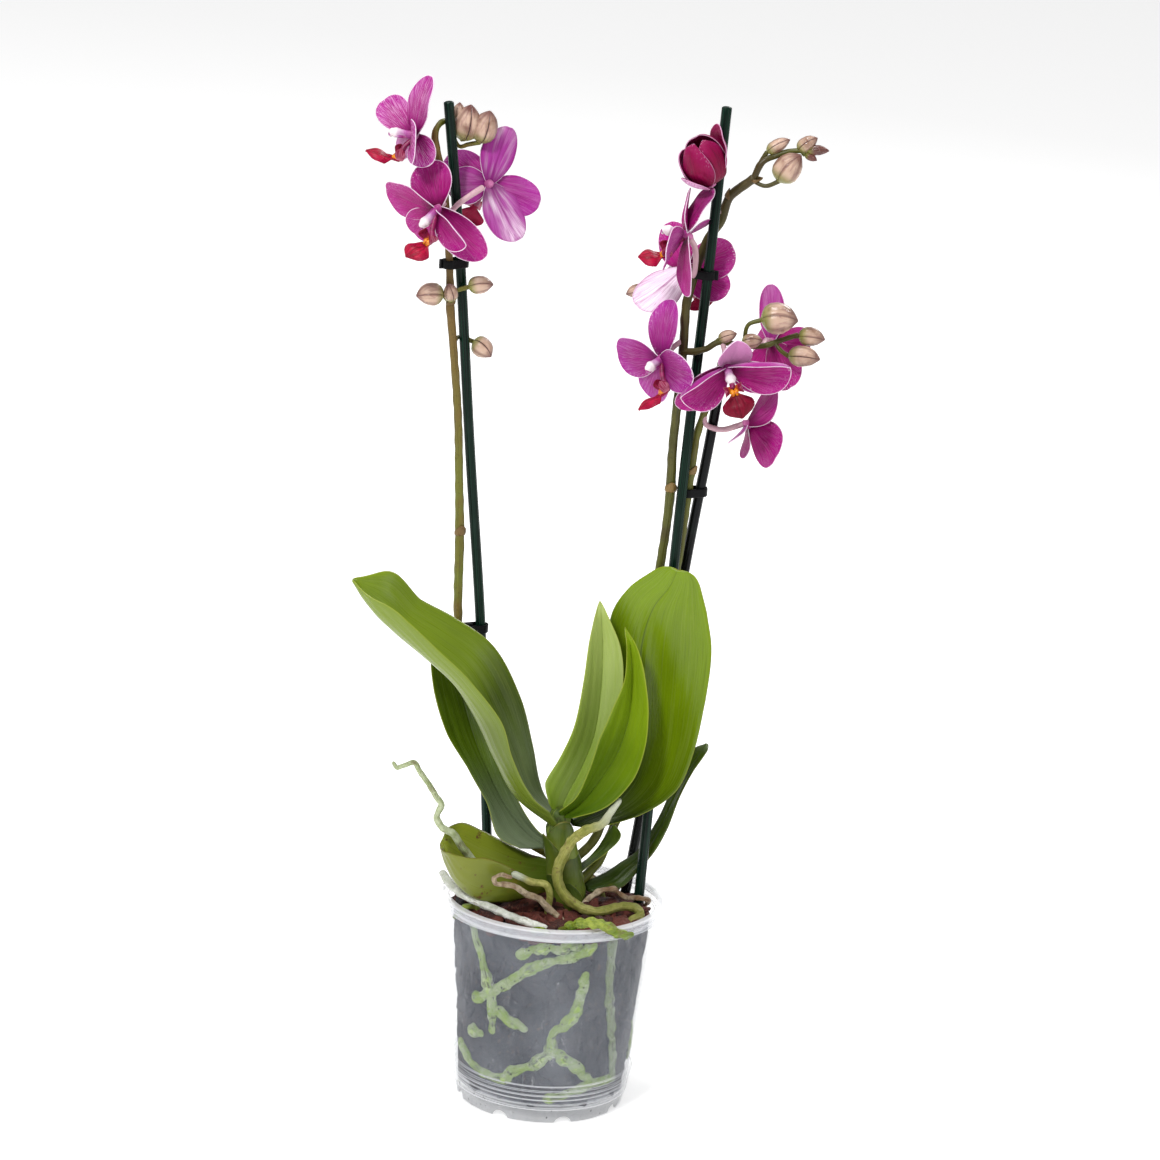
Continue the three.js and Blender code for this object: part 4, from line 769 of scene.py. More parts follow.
BLOOMS = {
    "a": {
        "rise": [0.2, -0.15, 1], "at": [-98, 20, 512], "column": [-13, -0.5, 1.5],
        "throat": [-6, -3, -12.5], "lip": [-24, -5, -8],
        "sepals": [[6.5, 1.5, 31.5], [-9, 16, -13], [9, -8, -13]],
        "petals": [[-16.5, 21, 13.5], [3, -24, -1]],
    },
    "b": {
        "rise": [-0.3, -0.6, 0.75], "at": [-83.5, 12, 476], "column": [-8, -9.5, -8],
        "throat": [-1.5, -13, -14], "lip": [-14, -21.5, -21],
        "sepals": [[-6, 12, 22], [-12, 17.5, -18], [26, -5, -23]],
        "petals": [[-27, 13, 7], [17, -15.5, -14]],
    },
    "c": {
        "at": [-58.5, 38, 486], "column": [-5, 11.5, -3.5], "throat": [-6, 8, -13],
        "lip": [-11.5, 10, -24.5], "sepals": [[8.5, 6, 29.5], [-22, 0, -3], [17.5, -3.5, -28]],
        "petals": [[27.5, 6.5, -10], [-23.5, 6, 10.3]],
    },
    "e": {
        "rise": [0, -0.35, 1], "at": [45, 14, 471], "column": [-13, -3, 3.5], "throat": [-8.5, -10, -9],
        "lip": [-24, -12, -10], "sepals": [[0, 10, 23], [10.5, 20, 2.5], [3, -15, -28.5]],
        "petals": [[13, 9, 24], [-9, -24, -9]],
    },
    "f": {
        "at": [45.5, 40, 447.5], "column": [4, 9, -5], "throat": [8.5, 7, -13], "lip": [13.5, 3, -21],
        "sepals": [[-9.5, 17, 20.5], [24.5, -5, -9.5], [-23, -12, -19]],
        "petals": [[25, 3, 13], [-12, 22, -16]],
    },
    "g": {
        "rise": [0, 0.15, 1], "at": [37, 14, 405], "column": [-7.5, -9.5, -4], "throat": [4, -14.5, -13],
        "lip": [-10.5, -20.5, -22.5], "sepals": [[2.5, 10, 29.5], [-3, 12, -25], [12.5, 13, -17]],
        "petals": [[-22.5, 17, -1.5], [17.5, -21.5, -2.5]],
    },
    "h": {
        "at": [71, 6, 405], "column": [3, -12.5, -5.5], "throat": [3.5, -13.5, -7.5],
        "lip": [9.5, -19, -22], "sepals": [[4.5, -10.5, 16.5], [-24, 2, -24], [31.5, 6.5, -8]],
        "petals": [[-23, -6, -16.5], [32.5, -8.5, 4]],
    },
    "i": {
        "at": [94.5, 44, 411], "column": [5, 10, -4], "throat": [6, 9, -14.5], "lip": [10.5, 12, -19.5],
        "sepals": [[-2.5, 13.5, 28], [11.5, -20.5, -19], [-8.5, -2, -25]],
        "petals": [[19, -14, 0], [-9, 24, -8]],
    },
    "j": {
        "at": [85, 26, 370.5], "column": [9, 4, -3], "throat": [6, 3, -12], "lip": [16, 6, -17],
        "sepals": [[13.5, -13, 25], [-9.5, -12, -8], [-2, 14, -21]],
        "petals": [[14, -24.5, -11], [6, 26, 8]],
    },
}

# The bloom that is still opening: its centre, the way its cup opens, and its shells, each as
# (radius, height, angle round the axis, half spread, how far it bends over, tone, how blunt).
OPENING = {
    "at": [56, 25, 498.5],
    "axis": [-7, -6, 18],
    "shells": [
        (15, 24, 200, 50, 0.42, 0.75, 2), (12.6, 27, 140, 50, 0.62, 0.5, 2),
        (12.8, 52, 15, 50, 0.5, -0.6, 1.6),
        (11, 25, 75, 80, 0.9, -1, 2.2), (11.2, 24.5, 214, 62, 0.9, -1, 2), (9.8, 24, 300, 80, 0.93, -1, 2.2),
    ],
}

# The stem that leaves and roots grow from, and its sheaths: the lowest and highest point of each,
# and the angle of its middle.
CROWN = [[8, 0, 99], [7, 0, 115.5], [4, -2, 133], [1, -5, 149], [0.5, -6, 161]]
CROWN_RADII = [9.5, 9.5, 8.5, 7.5, 5.5]
SHEATHS = [(103, 123, 150), (104, 127, -35), (110, 139, 60), (121, 149, -70), (132, 158, 25)]

POT_HEIGHT = 113.2
POT_WALL = 1.2
WALL_LOW, WALL_HIGH = (48.2, 19.8), (56, 106)  # the outside of the wall: radius and height
ARCHES = 8
ARCH_RADIUS = 5
ARCH_DROP = 1.6  # how far below the foot the arches are centred
ARCH_START = -27  # degrees
SKIRT_RADIUS = 43.6  # the foot's skirt, which the arches are cut in, and its height
SKIRT_HEIGHT = 7.4
BARK_TOP = 104.2
BARK_DOME = 3.4
CHIPS_ON_TOP = 210
CHIPS_BEHIND = 420
GOLDEN_ANGLE = 2.39996
# The big chips between the roots: middle, size and turn. The first two are deeply ridged.
BIG_CHIPS = [
    ((-13, -17, 111.6), (26, 15, 9), 0.5), ((-26, -11, 109.5), (17, 11, 7), 1),
    ((-46, 3, 106.5), (13, 8, 6), 1.4), ((46.5, -2, 106.5), (14, 9, 6), -1),
    ((-33, -28, 107), (15, 9, 6), 2.4), ((20, -38, 106.5), (16, 8, 5), 0.3),
    ((37, -24, 107), (13, 10, 5), 1.8),
]
WALL_ROOT_WIDTH = 5.8
WALL_ROOT_DEPTH = 2.6
WALL_ROOT_GAP = 0.25  # between a root and the wall
STAKE_RADIUS = 2.7
STRAP_SIDES = 16
BUD_SIDES = 54


def wall_inside(z):
    """The radius of the inside of the wall at a height."""
    (low, start), (high, end) = WALL_LOW, WALL_HIGH
    return low + (high - low) * (z - start) / (end - start) - POT_WALL


def bark_height(radius):
    """The height of the bark, which is heaped up a little in the middle."""
    return BARK_TOP + BARK_DOME * (1 - (radius / 55) ** 2)


def bark_edge(z):
    """How far out the bark reaches: to the back of the roots that run along the wall."""
    return wall_inside(z) - 0.6 - WALL_ROOT_DEPTH


# ---------------------------------------------------------------- pot


def lathe(shape, profile, angles, lift=None):
    """A closed profile of (radius, z) turned about the axis; `lift` moves points by (z, angle)."""
    profile = vector(profile)
    radius, z = profile[:, 0:1], profile[:, 1:2]
    height = np.broadcast_to(z, (len(profile), len(angles)))
    if lift:
        height = lift(radius, height, angles[None, :])
    points = np.stack([radius * np.sin(angles), -radius * np.cos(angles), height], -1)
    faces, row, column = lattice(len(profile), len(angles), closed=True)
    shape.add(points, [faces], [np.stack([column / len(angles), running_length(profile)[row] / 100], -1)])


def pot_angles():
    """Angles round the pot, closer together across each foot arch."""
    step = TAU / ARCHES
    half = math.sqrt(ARCH_RADIUS**2 - ARCH_DROP**2) / SKIRT_RADIUS
    near = np.sin(np.linspace(-math.pi / 2, math.pi / 2, 17)) * half
    far = np.linspace(half, step - half, 17)[1:-1]
    start = math.radians(ARCH_START)
    return np.concatenate([start + k * step + np.concatenate([near, far]) for k in range(ARCHES)])


def arch_lift(radius, height, angles):
    """The skirt's lower edge rises into a low arch at each notch."""
    step = TAU / ARCHES
    off = (angles - math.radians(ARCH_START) + step / 2) % step - step / 2
    arch = np.maximum(np.sqrt(np.maximum(ARCH_RADIUS**2 - (off * SKIRT_RADIUS) ** 2, 0)) - ARCH_DROP, 0)
    skirt = (radius > 40) & (height < SKIRT_HEIGHT)
    return np.where(skirt, arch + height * (1 - arch / SKIRT_HEIGHT), height)


def pot_profile():
    """The section of the pot, from the middle of its foot, up outside and down inside."""
    under, top = POT_HEIGHT - POT_WALL, POT_HEIGHT
    (low, start), (high, end) = WALL_LOW, WALL_HIGH
    ribs = [
        (46, 7), (46.7, 7.5), (46.9, 8.1), (46.6, 9.2), (46.7, 9.8), (47.2, 11.2), (47.6, 12), (47.5, 12.6),
        (47.1, 13.4), (47.2, 13.9), (47.7, 15), (48.1, 15.7), (48, 16.2), (47.7, 16.9), (47.8, 17.4),
        (48.4, 18.5), (48.8, 19.1), (48.7, 19.6), (48.3, 20.2),
    ]
    wall = [(low + (high - low) * t, start + (end - start) * t) for t in np.linspace(0.02, 1, 16)]
    rim = [
        (56.2, 108), (56.3, 110.6), (56.6, under - 0.3), (57.2, under), (58.2, under), (58.7, under - 0.4),
        (58.8, 110.6), (58.8, 107.5), (58.9, 107.25), (59.2, 107.2), (59.7, 107.2), (59.95, 107.4),
        (60, 107.8), (60, 110), (60, top - 1), (59.8, top - 0.4), (59.4, top - 0.1), (58.9, top), (57.4, top),
        (56.2, top - 0.05), (55.8, top - 0.3), (55.6, top - 0.9), (55.4, 110),
    ]
    inside = [(wall_inside(z), z) for z in np.linspace(end, start, 16)]
    floor = [
        (46.3, 14), (45.7, 10.4), (45.2, 9.6), (44.4, 9.4), (38, 9.4), (32.4, 9.4), (31.2, 9.0), (26.4, 2.0),
        (25.3, 1.3), (18, 1.2), (9, 1.2), (0.4, 1.2),
    ]
    foot = [
        (0.4, 0), (12, 0), (25, 0), (26, 0.15), (26.6, 0.9), (31.4, 7.6), (32.2, 8.2), (38, 8.2), (44.2, 8.2),
        (44.2, 7.3), (43.6, 4), (42.9, 0.3), (43.1, 0.03), (43.5, 0), (44.1, 0), (44.4, 0.2), (44.8, 2),
        (45.3, 4.2),
    ]
    return foot + ribs + wall + rim + inside + floor + foot[:1]


def clear_plastic():
    """Clear plastic with a milky haze, fine scratches and specks, crumbs behind it near the foot,
    and a frosted rim and foot. Both faces of the wall add to what hides the inside."""
    paint = Paint("clear_plastic")
    where = paint.place()
    height = where.axes()[2]
    haze = where.noise(17, 3, 0.5, 0.4).step(0.3, 0.72)
    fine = paint.place((1, 1, 0.35)).noise(150, 4, 0.7, 0.6)
    speck = paint.place((1, 1, 0.8)).cells(330).step(0.2, 0.13) * where.noise(240, 2, 0.6).step(0.54, 0.575)
    low = height.step(0.0085, 0.0065)
    # The fine white rings near the foot are painted highlights on the crests of the ribs.
    ring = height.math("PINGPONG", 0.00135).step(0.0004, 0.0001)
    ring = ring * height.step(0.0235, 0.0215) * height.step(0.0072, 0.0078)
    crumbs = paint.place((1, 1, 2.2)).cells(150).step(0.3, 0.16) * where.noise(70, 2).step(0.5, 0.56)
    crumbs = crumbs * height.step(0.024, 0.014) * height.step(0.0075, 0.009)
    scratch = paint.place((1, 1, 0.16)).streak(260, 0.012) * fine.step(0.5, 0.6)
    dirt = (speck * 0.8).most(crumbs * 0.55)
    rim = height.step(0.1056, 0.1066)
    edges = rim * height.step(0.1079, 0.107).most(height.step(0.1114, 0.1127))
    # In the white layer, the rings are painted highlights; the rim's edges and the scratches are white lines.
    shade = haze.mix("#868c98", "#a9aeb8").layers(
        (rim, "#c8cbd1"), (low, "#74777d"), (ring.most(edges).most(scratch), "#f4f5f8"), (dirt, "#2c1e19"))
    clear = haze * 0.07 + fine * 0.05 + 0.12
    clear = clear.layers((rim, fine * 0.18 + 0.17), (low, fine * 0.16 + 0.22))
    clear = clear.most(ring * 0.5).most(edges * 0.45).most(scratch * 0.34).most(dirt)
    rough = haze * 0.1 + rim * 0.15 + 0.1
    bumps = (where.noise(14, 2) * 1.5).bump(0.2, 0.0006)
    return paint.finish(shade, rough, bumps, Alpha=clear, IOR=1.45)


def build_pot():
    """One clear skin: outside, rim, inside and floor."""
    shape = Shape()
    lathe(shape, pot_profile(), pot_angles(), arch_lift)
    make("pot_shell", shape, [clear_plastic()], "pot", sharp=50)


# ---------------------------------------------------------------- bark


def bark_paint(name, dark, mid, light):
    """Bark: grain along each chip, which has its own tint, and a little pale dust."""
    paint = Paint(name)
    where = paint.place()
    grain = paint.mapped(9, 1).noise(3, 5, 0.65, 0.4)
    shade = grain * 0.6 + where.noise(90, 4, 0.6) * 0.25 + paint.mark("tint") * 0.28
    base = shade.ramp((0.36, dark), (0.54, mid), (0.68, mid), (0.86, light))
    base = base.layers((where.noise(420, 3).step(0.6, 0.72) * 0.25, "#b08a6c"))
    height = grain + where.noise(700, 3) * 0.4
    return paint.finish(base, grain.step(0.3, 0.7, 0.8, 0.5), height.bump(1.0, 0.0014))


def power(v, exponent):
    """A power that keeps the sign, which squares off a round section."""
    return np.sign(v) * np.abs(v) ** exponent


def chip(shape, centre, size, turn, seed, limit, ridge=0.28):
    """One bark chip: a torn slab with ridges along its grain, kept within `limit` of the axis."""
    r = np.random.default_rng(seed)
    rows, columns = 9, 14
    polar = np.linspace(-math.pi / 2, math.pi / 2, rows)[:, None]
    around = TAU * np.arange(columns)[None, :] / columns
    x = power(np.cos(polar), 0.45) * power(np.cos(around), 0.5)
    y = power(np.cos(polar), 0.45) * power(np.sin(around), 0.5)
    z = power(np.sin(polar), 0.5) * np.ones_like(around)
    points = np.stack([x, y, z], -1)
    points *= (1 + 0.2 * ripple(points, 1.6, seed))[..., None]
    taper = 1 + (0.35 * r.random() - 0.1) * points[..., :1]
    points = points * np.array(size) / 2 * np.concatenate([np.ones_like(taper), taper, taper], -1)
    ridges = ridge * ripple(points * np.array([0.12, 1, 0.3]), 3.0 if ridge > 0.5 else 1.4, seed + 1)
    points[..., 2] += ridges * np.sign(points[..., 2] + 1e-6) * min(1.0, size[2] / 4)
    x_turn, y_turn, z_turn = (Matrix.Rotation(angle, 3, axis) for angle, axis in zip(turn, "XYZ"))
    points = points @ np.array(z_turn @ y_turn @ x_turn).T + centre
    reach = np.hypot(points[..., 0], points[..., 1])
    points[..., :2] *= np.minimum(1, limit(points[..., 2]) / np.maximum(reach, 1e-6))[..., None]
    faces, row, column = lattice(rows, columns, closed=True)
    maps = np.stack([column / columns * 2 + r.random(), row / rows * 2 + r.random()], -1)
    shape.add(points, [faces], [maps], tint=r.random())


def within_pot(z):
    """How far out a chip on top may reach."""
    return wall_inside(np.minimum(z, WALL_HIGH[1])) - 0.7


def behind_roots(z):
    """How far out a chip at the wall may reach."""
    return bark_edge(np.clip(z, 11, 104)) + 1.4


def build_bark():
    """A core painted near black for the shade in the gaps between chips, loose chips over it, and chips all
    round it that show through the wall, painted darker and greyer for the shade inside the pot.
    """
    r = np.random.default_rng(21)
    core = Shape("tint")
    foot = [(0.5, 2), (24, 2), (30.5, 9.8), (bark_edge(12) - 1.4, 10.2)]
    side = [(bark_edge(z) - 1.4, z) for z in np.linspace(14, 101, 12)]
    top = [(q, bark_height(q) - 1.6) for q in (48, 40, 30, 20, 10, 0.5)]
    lathe(core, foot + side + top + foot[:1], TAU * np.arange(96) / 96)
    chips = Shape("tint")
    for k in range(CHIPS_ON_TOP):
        radius = 50.5 * math.sqrt((k + 0.5) / CHIPS_ON_TOP)
        angle = k * GOLDEN_ANGLE + 0.5 * r.random()
        size = (7 + 9 * r.random() ** 1.5, 4 + 5 * r.random(), 2.4 + 2.6 * r.random())
        z = bark_height(radius) - 1 + 3.4 * r.random()
        centre = (radius * math.sin(angle), -radius * math.cos(angle), z)
        turn = (0.9 * r.random() - 0.45, 0.9 * r.random() - 0.45, TAU * r.random())
        chip(chips, centre, size, turn, 1000 + k, within_pot)
    for k, (centre, size, spin) in enumerate(BIG_CHIPS):
        chip(chips, centre, size, (0.12, -0.1, spin), 1300 + k, within_pot, 0.9 if k < 2 else 0.45)
    behind = Shape("tint")
    for k in range(CHIPS_BEHIND):
        angle = TAU * (k * 0.618034 % 1)
        z = 13 + 88 * (k + 0.5) / CHIPS_BEHIND
        size = (8 + 12 * r.random() ** 1.4, 5 + 6 * r.random(), 3.4 + 2 * r.random())
        radius = bark_edge(z) - size[2] * 0.25 - 1.2 * r.random()
        centre = (radius * math.sin(angle), -radius * math.cos(angle), z)
        upright = Matrix.Rotation(angle, 3, "Z") @ Matrix.Rotation(math.pi / 2, 3, "X")
        turn = upright @ Matrix.Rotation(TAU * r.random(), 3, "Z")
        chip(behind, centre, size, tuple(turn.to_euler()), 2000 + k, behind_roots)
    for name, shape, paint in (
            # The core is painted near black for the shade in the gaps between the chips.
            ("bark_core", core, bark_paint("bark_dark", "#120a09", "#2a1713", "#4a2b20")),
            ("bark_chips", chips, bark_paint("bark", "#1c0a07", "#662c20", "#a4694a")),
            # The chips behind the wall are painted darker and greyer for the shade inside the pot.
            ("bark_behind_wall", behind, bark_paint("bark_painted_shade", "#0c0b0c", "#27211f", "#57443c"))):
        make(name, shape, [paint], "substrate")


# ---------------------------------------------------------------- roots


def root_paint(name, pale, mid, green, wet=0.0, tip=None, scar="#6b5534"):
    """Velamen: a dull spongy skin, mottled, with fine lines along it, green where it is wet, and
    brown scars. `tip` is the colour of its first end."""
    paint = Paint(name)
    where = paint.place()
    patch = where.noise(60, 3, 0.6, 0.8).step(0.36, 0.62)
    mottle = where.noise(380, 4, 0.65)
    lines = paint.mapped(18, 0.35).noise(1, 4, 0.65, 0.3)
    scars = where.noise(130, 4, 0.65, 0.5).step(0.56 - 0.1 * wet, 0.63 - 0.1 * wet) * lines.step(0.42, 0.6)
    colour = patch.mix(pale, mid).layers(
        (mottle.step(0.42, 0.66) * 0.6, green), (lines.step(0.5, 0.66) * 0.55, pale), (scars * 0.8, scar))
    if tip:
        colour = paint.mark("along").step(0.2, 0.0).mix(colour, tip)
    height = mottle * 0.6 + lines * 0.9 + patch * 0.4
    return paint.finish(colour, patch.step(0, 1, 0.66 - wet, 0.5 - wet), height.bump(0.9, 0.0012), glow=0.06,
                        reach=(0.002, 0.0025, 0.001), Subsurface_Scale=0.6, shine=0.35)


def build_aerial_roots():
    """The roots over the bark and the rim, slightly flattened."""
    skins = {
        "pale": root_paint("root_pale", "#a6a25e", "#85863a", "#626a1e", tip="#b4b9a4"),
        "tall": root_paint("root_tall", "#b7c09c", "#95a074", "#7f8d52"),
        "white": root_paint("root_white", "#e0e1da", "#c0c3b8", "#a0a692"),
        "green": root_paint("root_green", "#93a03c", "#63781c", "#39540c", wet=0.25),
        "dry": root_paint("root_dry", "#b8a98f", "#856648", "#4a3020"),
    }
    slots = {"green": "root_green", "dry": "root_dry"}
    for k, (key, (look, radii, path)) in enumerate(AERIAL_ROOTS.items()):
        shape = Shape("along")
        rough = 0.22 if look in slots else 0.07
        sweep(shape, path, radii, sides=24, step=0.7, squash=0.86, rough=rough, grain=5, seed=50 + k,
              caps=(1.3, 0.8), section=lambda a: 1 + 0.05 * np.cos(4 * a + 0.6))
        make("root_%s_skin" % key, shape, [skins[look]], "root_" + key)


def build_wall_roots():
    """Roots pressed flat along the inside of the wall."""
    wet = root_paint("root_wet", "#aab78c", "#8ca62c", "#82a814", wet=0.3, scar="#2a2010")
    dim = root_paint("root_dim", "#8f9c74", "#7c8c58", "#70823e", wet=0.3, scar="#4a4430")
    middle = WALL_ROOT_GAP + WALL_ROOT_DEPTH / 2
    for k, (key, strands) in enumerate(WALL_ROOTS.items()):
        shape = Shape("along")
        for n, stations in enumerate(strands):
            angle, z = np.radians([s[0] for s in stations]), np.array([s[1] for s in stations], float)
            radius = wall_inside(z) - middle
            path = np.stack([np.sin(angle) * radius, -np.cos(angle) * radius, z], -1)
            track = along_curve(path, np.linspace(0, len(path) - 1, 8 * len(path)))
            track += 0.5 * np.stack([ripple(track, 9, 31 * k + n + q) for q in (0, 1, 2)], -1)
            reach = wall_inside(track[:, 2]) - middle
            track[:, :2] *= (reach / np.hypot(track[:, 0], track[:, 1]))[:, None]
            width = WALL_ROOT_WIDTH / 2 * (1 + 0.2 * ripple(track, 9, 90 + 7 * k + n))
            sweep(shape, track, width, sides=24, step=0.8, squash=WALL_ROOT_DEPTH / WALL_ROOT_WIDTH,
                  away=lambda p: (*p[:2], 0), rough=0.1, grain=3.5, seed=70 + 5 * k + n, caps=(1.2, 1.2))
        skin = dim if key == "right" else wet
        make("wall_root_%s_skin" % key, shape, [skin], "wall_root_" + key)


# ---------------------------------------------------------------- stakes, clips, crown


def build_stakes():
    """Three ribbed plastic rods: two dark green ones and a short black one."""
    for key, points in STAKES.items():
        black = key == "short"
        slot = "stake_black" if black else "stake_green"
        paint = Paint(slot + "_" + key)
        lines = paint.mapped(22, 0.12).noise(1, 4, 0.6)
        worn = paint.place().noise(60, 4, 0.6).step(0.5, 0.7)
        dark, light = ("#040405", "#101214") if black else ("#030d09", "#0d3022")
        colour = lines.step(0.35, 0.7).mix(dark, light).layers((worn * 0.15, "#2c3a34"))
        material = paint.finish(colour, lines.step(0.3, 0.7, 0.2, 0.34), lines.bump(0.35, 0.0004), shine=0.14)
        shape = Shape("along")
        sweep(shape, points, STAKE_RADIUS, sides=40, step=4, caps=(0.35, 0.35),
              section=lambda a: 0.965 + 0.035 * np.cos(10 * a))
        make("stake_%s_rod" % key, shape, [material], "stake_" + key)


def strap_rings(track, forward, high, thick):
    """The sections of a strap along a flat track, `high` mm tall, with rounded corners."""
    out = np.cross(unit(forward), UP)
    a = TAU * (np.arange(STRAP_SIDES) + 0.5) / STRAP_SIDES
    wide, tall = power(np.cos(a), 0.35) * thick / 2, power(np.sin(a), 0.35) * high / 2
    return track[:, None] + out[:, None] * wide[None, :, None] + UP * tall[None, :, None]


def add_loop(shape, track, high, thick):
    """A strap that closes on itself."""
    rings = strap_rings(track, np.roll(track, -1, 0) - np.roll(track, 1, 0), high, thick)
    rows, sides = rings.shape[:2]
    faces, row, column = lattice(rows + 1, sides, closed=True)
    shape.add(rings, [faces % (rows * sides)], [np.stack([column / sides, row / 10], -1)])


def add_strap(shape, track, high, thick):
    """A strap with a flat end at each side."""
    rings = strap_rings(track, np.gradient(track, axis=0), high, thick)
    tube(shape, rings, [track[0], track[-1]], np.arange(len(track)))


def build_clips():
    """Spring clips: a loop round stem and stake, and two arms that stick out."""
    paint = Paint("clip")
    where = paint.place()
    fine = where.noise(900, 3)
    material = paint.finish(where.noise(120, 3).mix("#010102", "#06070a"), fine.step(0.3, 0.7, 0.34, 0.5),
                            fine.bump(0.2, 0.0003), shine=0.12)
    for key, places in CLIPS.items():
        stem, pole, first, last = (vector(p) for p in places)
        reach = unit(pole - stem)
        side = np.cross(UP, reach)
        turn = np.linspace(-math.pi / 2, math.pi / 2, 19)[:, None]
        bow = np.cos(turn) * reach + np.sin(turn) * side
        loop = np.vstack([pole + 3.6 * bow, stem - 3.5 * bow])
        shape = Shape()
        add_loop(shape, evenly(np.vstack([loop, loop[:1]]), 0.6)[1][:-1], 4.6, 1.1)
        middle = (first + last) / 2
        for end in (first, last):
            path = [middle + 0.42 * (end - middle), middle + 0.75 * (end - middle), end]
            add_strap(shape, evenly(path, 0.5)[1], 5, 1.7)
        make("clip_%s_spring" % key, shape, [material], "clip_" + key, sharp=40)


def crown_paint():
    """Green above; brown and fibrous at the foot."""
    paint = Paint("crown")
    where = paint.place()
    fibre = paint.mapped(14, 0.6).noise(1, 5, 0.65)
    green = (where.axes()[2] + fibre * 0.02).step(0.118, 0.136)
    colour = fibre.ramp((0.3, "#241610"), (0.6, "#5c4228"), (0.8, "#8d7442")).layers(
        (green, fibre.step(0.4, 0.7).mix("#3e5210", "#7d8f34")),
        (where.noise(300, 3).step(0.55, 0.7) * 0.4, "#2c1a10"))
    return paint.finish(colour, 0.6, fibre.bump(0.8, 0.001))


def add_sheath(shape, low, high, turn, seed):
    """The base of a shed leaf, wrapped round the crown."""
    heights = np.array(CROWN)[:, 2]
    t = np.linspace(0, 1, 26)[:, None]
    u = np.linspace(-1, 1, 33)[None, :]
    z = low + (high - low) * t * (1 - 0.28 * u**2)
    middle = along_curve(CROWN, np.interp(z.ravel(), heights, range(len(CROWN)))).reshape(z.shape + (3,))
    lumps = 0.35 * ripple(middle + u[..., None] * 9, 14, seed)
    reach = np.interp(z, heights, CROWN_RADII) + 0.2 + 0.5 * t + lumps
    angle = math.radians(turn) + u * (1.9 - 0.75 * t**2)
    out = np.stack([np.sin(angle), -np.cos(angle), 0 * angle], -1)
    middle = middle + out * reach[..., None]
    edge = np.minimum((1 - np.abs(u)) * 12, (1 - t) * 12)
    maps = (u / 2 + 0.5, t * 2)
    blade(shape, middle, 0.9 * thinned(edge, 1.0), out + 0.2 * UP, maps, kind=1, edge=edge, rise=1 - t)


def build_crown():
    """A short green stem, wrapped by the bases of shed leaves."""
    shape = Shape("along", "edge", "side", "rise")
    sweep(shape, CROWN, np.array(CROWN_RADII) - 0.8, sides=36, step=1.4, rough=0.1, grain=9, seed=4,
          section=lambda a: 1 + 0.05 * np.cos(5 * a + 1))
    for k, (low, high, turn) in enumerate(SHEATHS):
        add_sheath(shape, low, high, turn, k)
    sheath = leaf_paint("sheath", "#33450a", "#6f7f28", "#5c6a24", margin="#a69a58", brown=0.25, gloss=0.36)
    make("crown_stub", shape, [crown_paint(), sheath], "crown")


# ---------------------------------------------------------------- spikes


def stem_paint(name, base, flush, speck, top=0.0):
    """A stem: fine lines along it, brown patches and dots; `top` browns its upper end."""
    paint = Paint(name)
    where = paint.place()
    lines = paint.mapped(16, 0.25).noise(1, 3, 0.6)
    colour = (lines.step(0.35, 0.7) * 0.2).mix(base, "#8f8f44").layers(
        (paint.mark("along").step(0.5, 0.2) * top, flush),
        (where.noise(34, 3, 0.55, 0.5).step(0.42, 0.66) * 0.75, flush),
        (lines.step(0.5, 0.3) * 0.4, speck),
        (where.noise(900, 2).step(0.6, 0.7) * 0.4, speck))
    return paint.finish(colour, lines.step(0.3, 0.7, 0.36, 0.52), lines.bump(0.25, 0.0004), glow=0.05,
                        reach=(0.002, 0.002, 0.001), shine=0.3)


def bud_paint(name, dark, light):
    """Closed buds: pale tan to dusty pink skin with fine veins, green at the base, brown toward
    the tip and dark along the seams."""
    paint = Paint(name)
    where = paint.place()
    along = paint.mark("along")
    seam = paint.mark("seam").step(0.5, 0.85)
    veins = paint.mapped(12, 0.5).streak(1, 0.04)
    patch = where.noise(90, 2, 0.5, 0.3).step(0.28, 0.6)
    skin = patch.mix(dark, light).layers(
        (where.noise(800, 3).step(0.55, 0.7) * 0.15, "#dcc7b8"), (veins * 0.35, "#7c4a52"),
        (paint.mark("seam").step(0.0, 0.5) * 0.5, "#74463e"),
        (paint.mark("keel").step(0.1, 0.9) * 0.5, "#5a3230"),
        (along.step(0.42, 0.05) * 0.9, "#787c38"), (along.step(0.72, 1.0) * 0.85, "#5e3230"),
        (seam * 0.95, "#2e1513"))
    bumps = (veins + seam * -2).bump(0.35, 0.0006)
    return paint.finish(skin, patch.step(0, 1, 0.22, 0.34), bumps, glow=0.04, reach=(0.003, 0.0015, 0.0015),
                        shine=0.4)


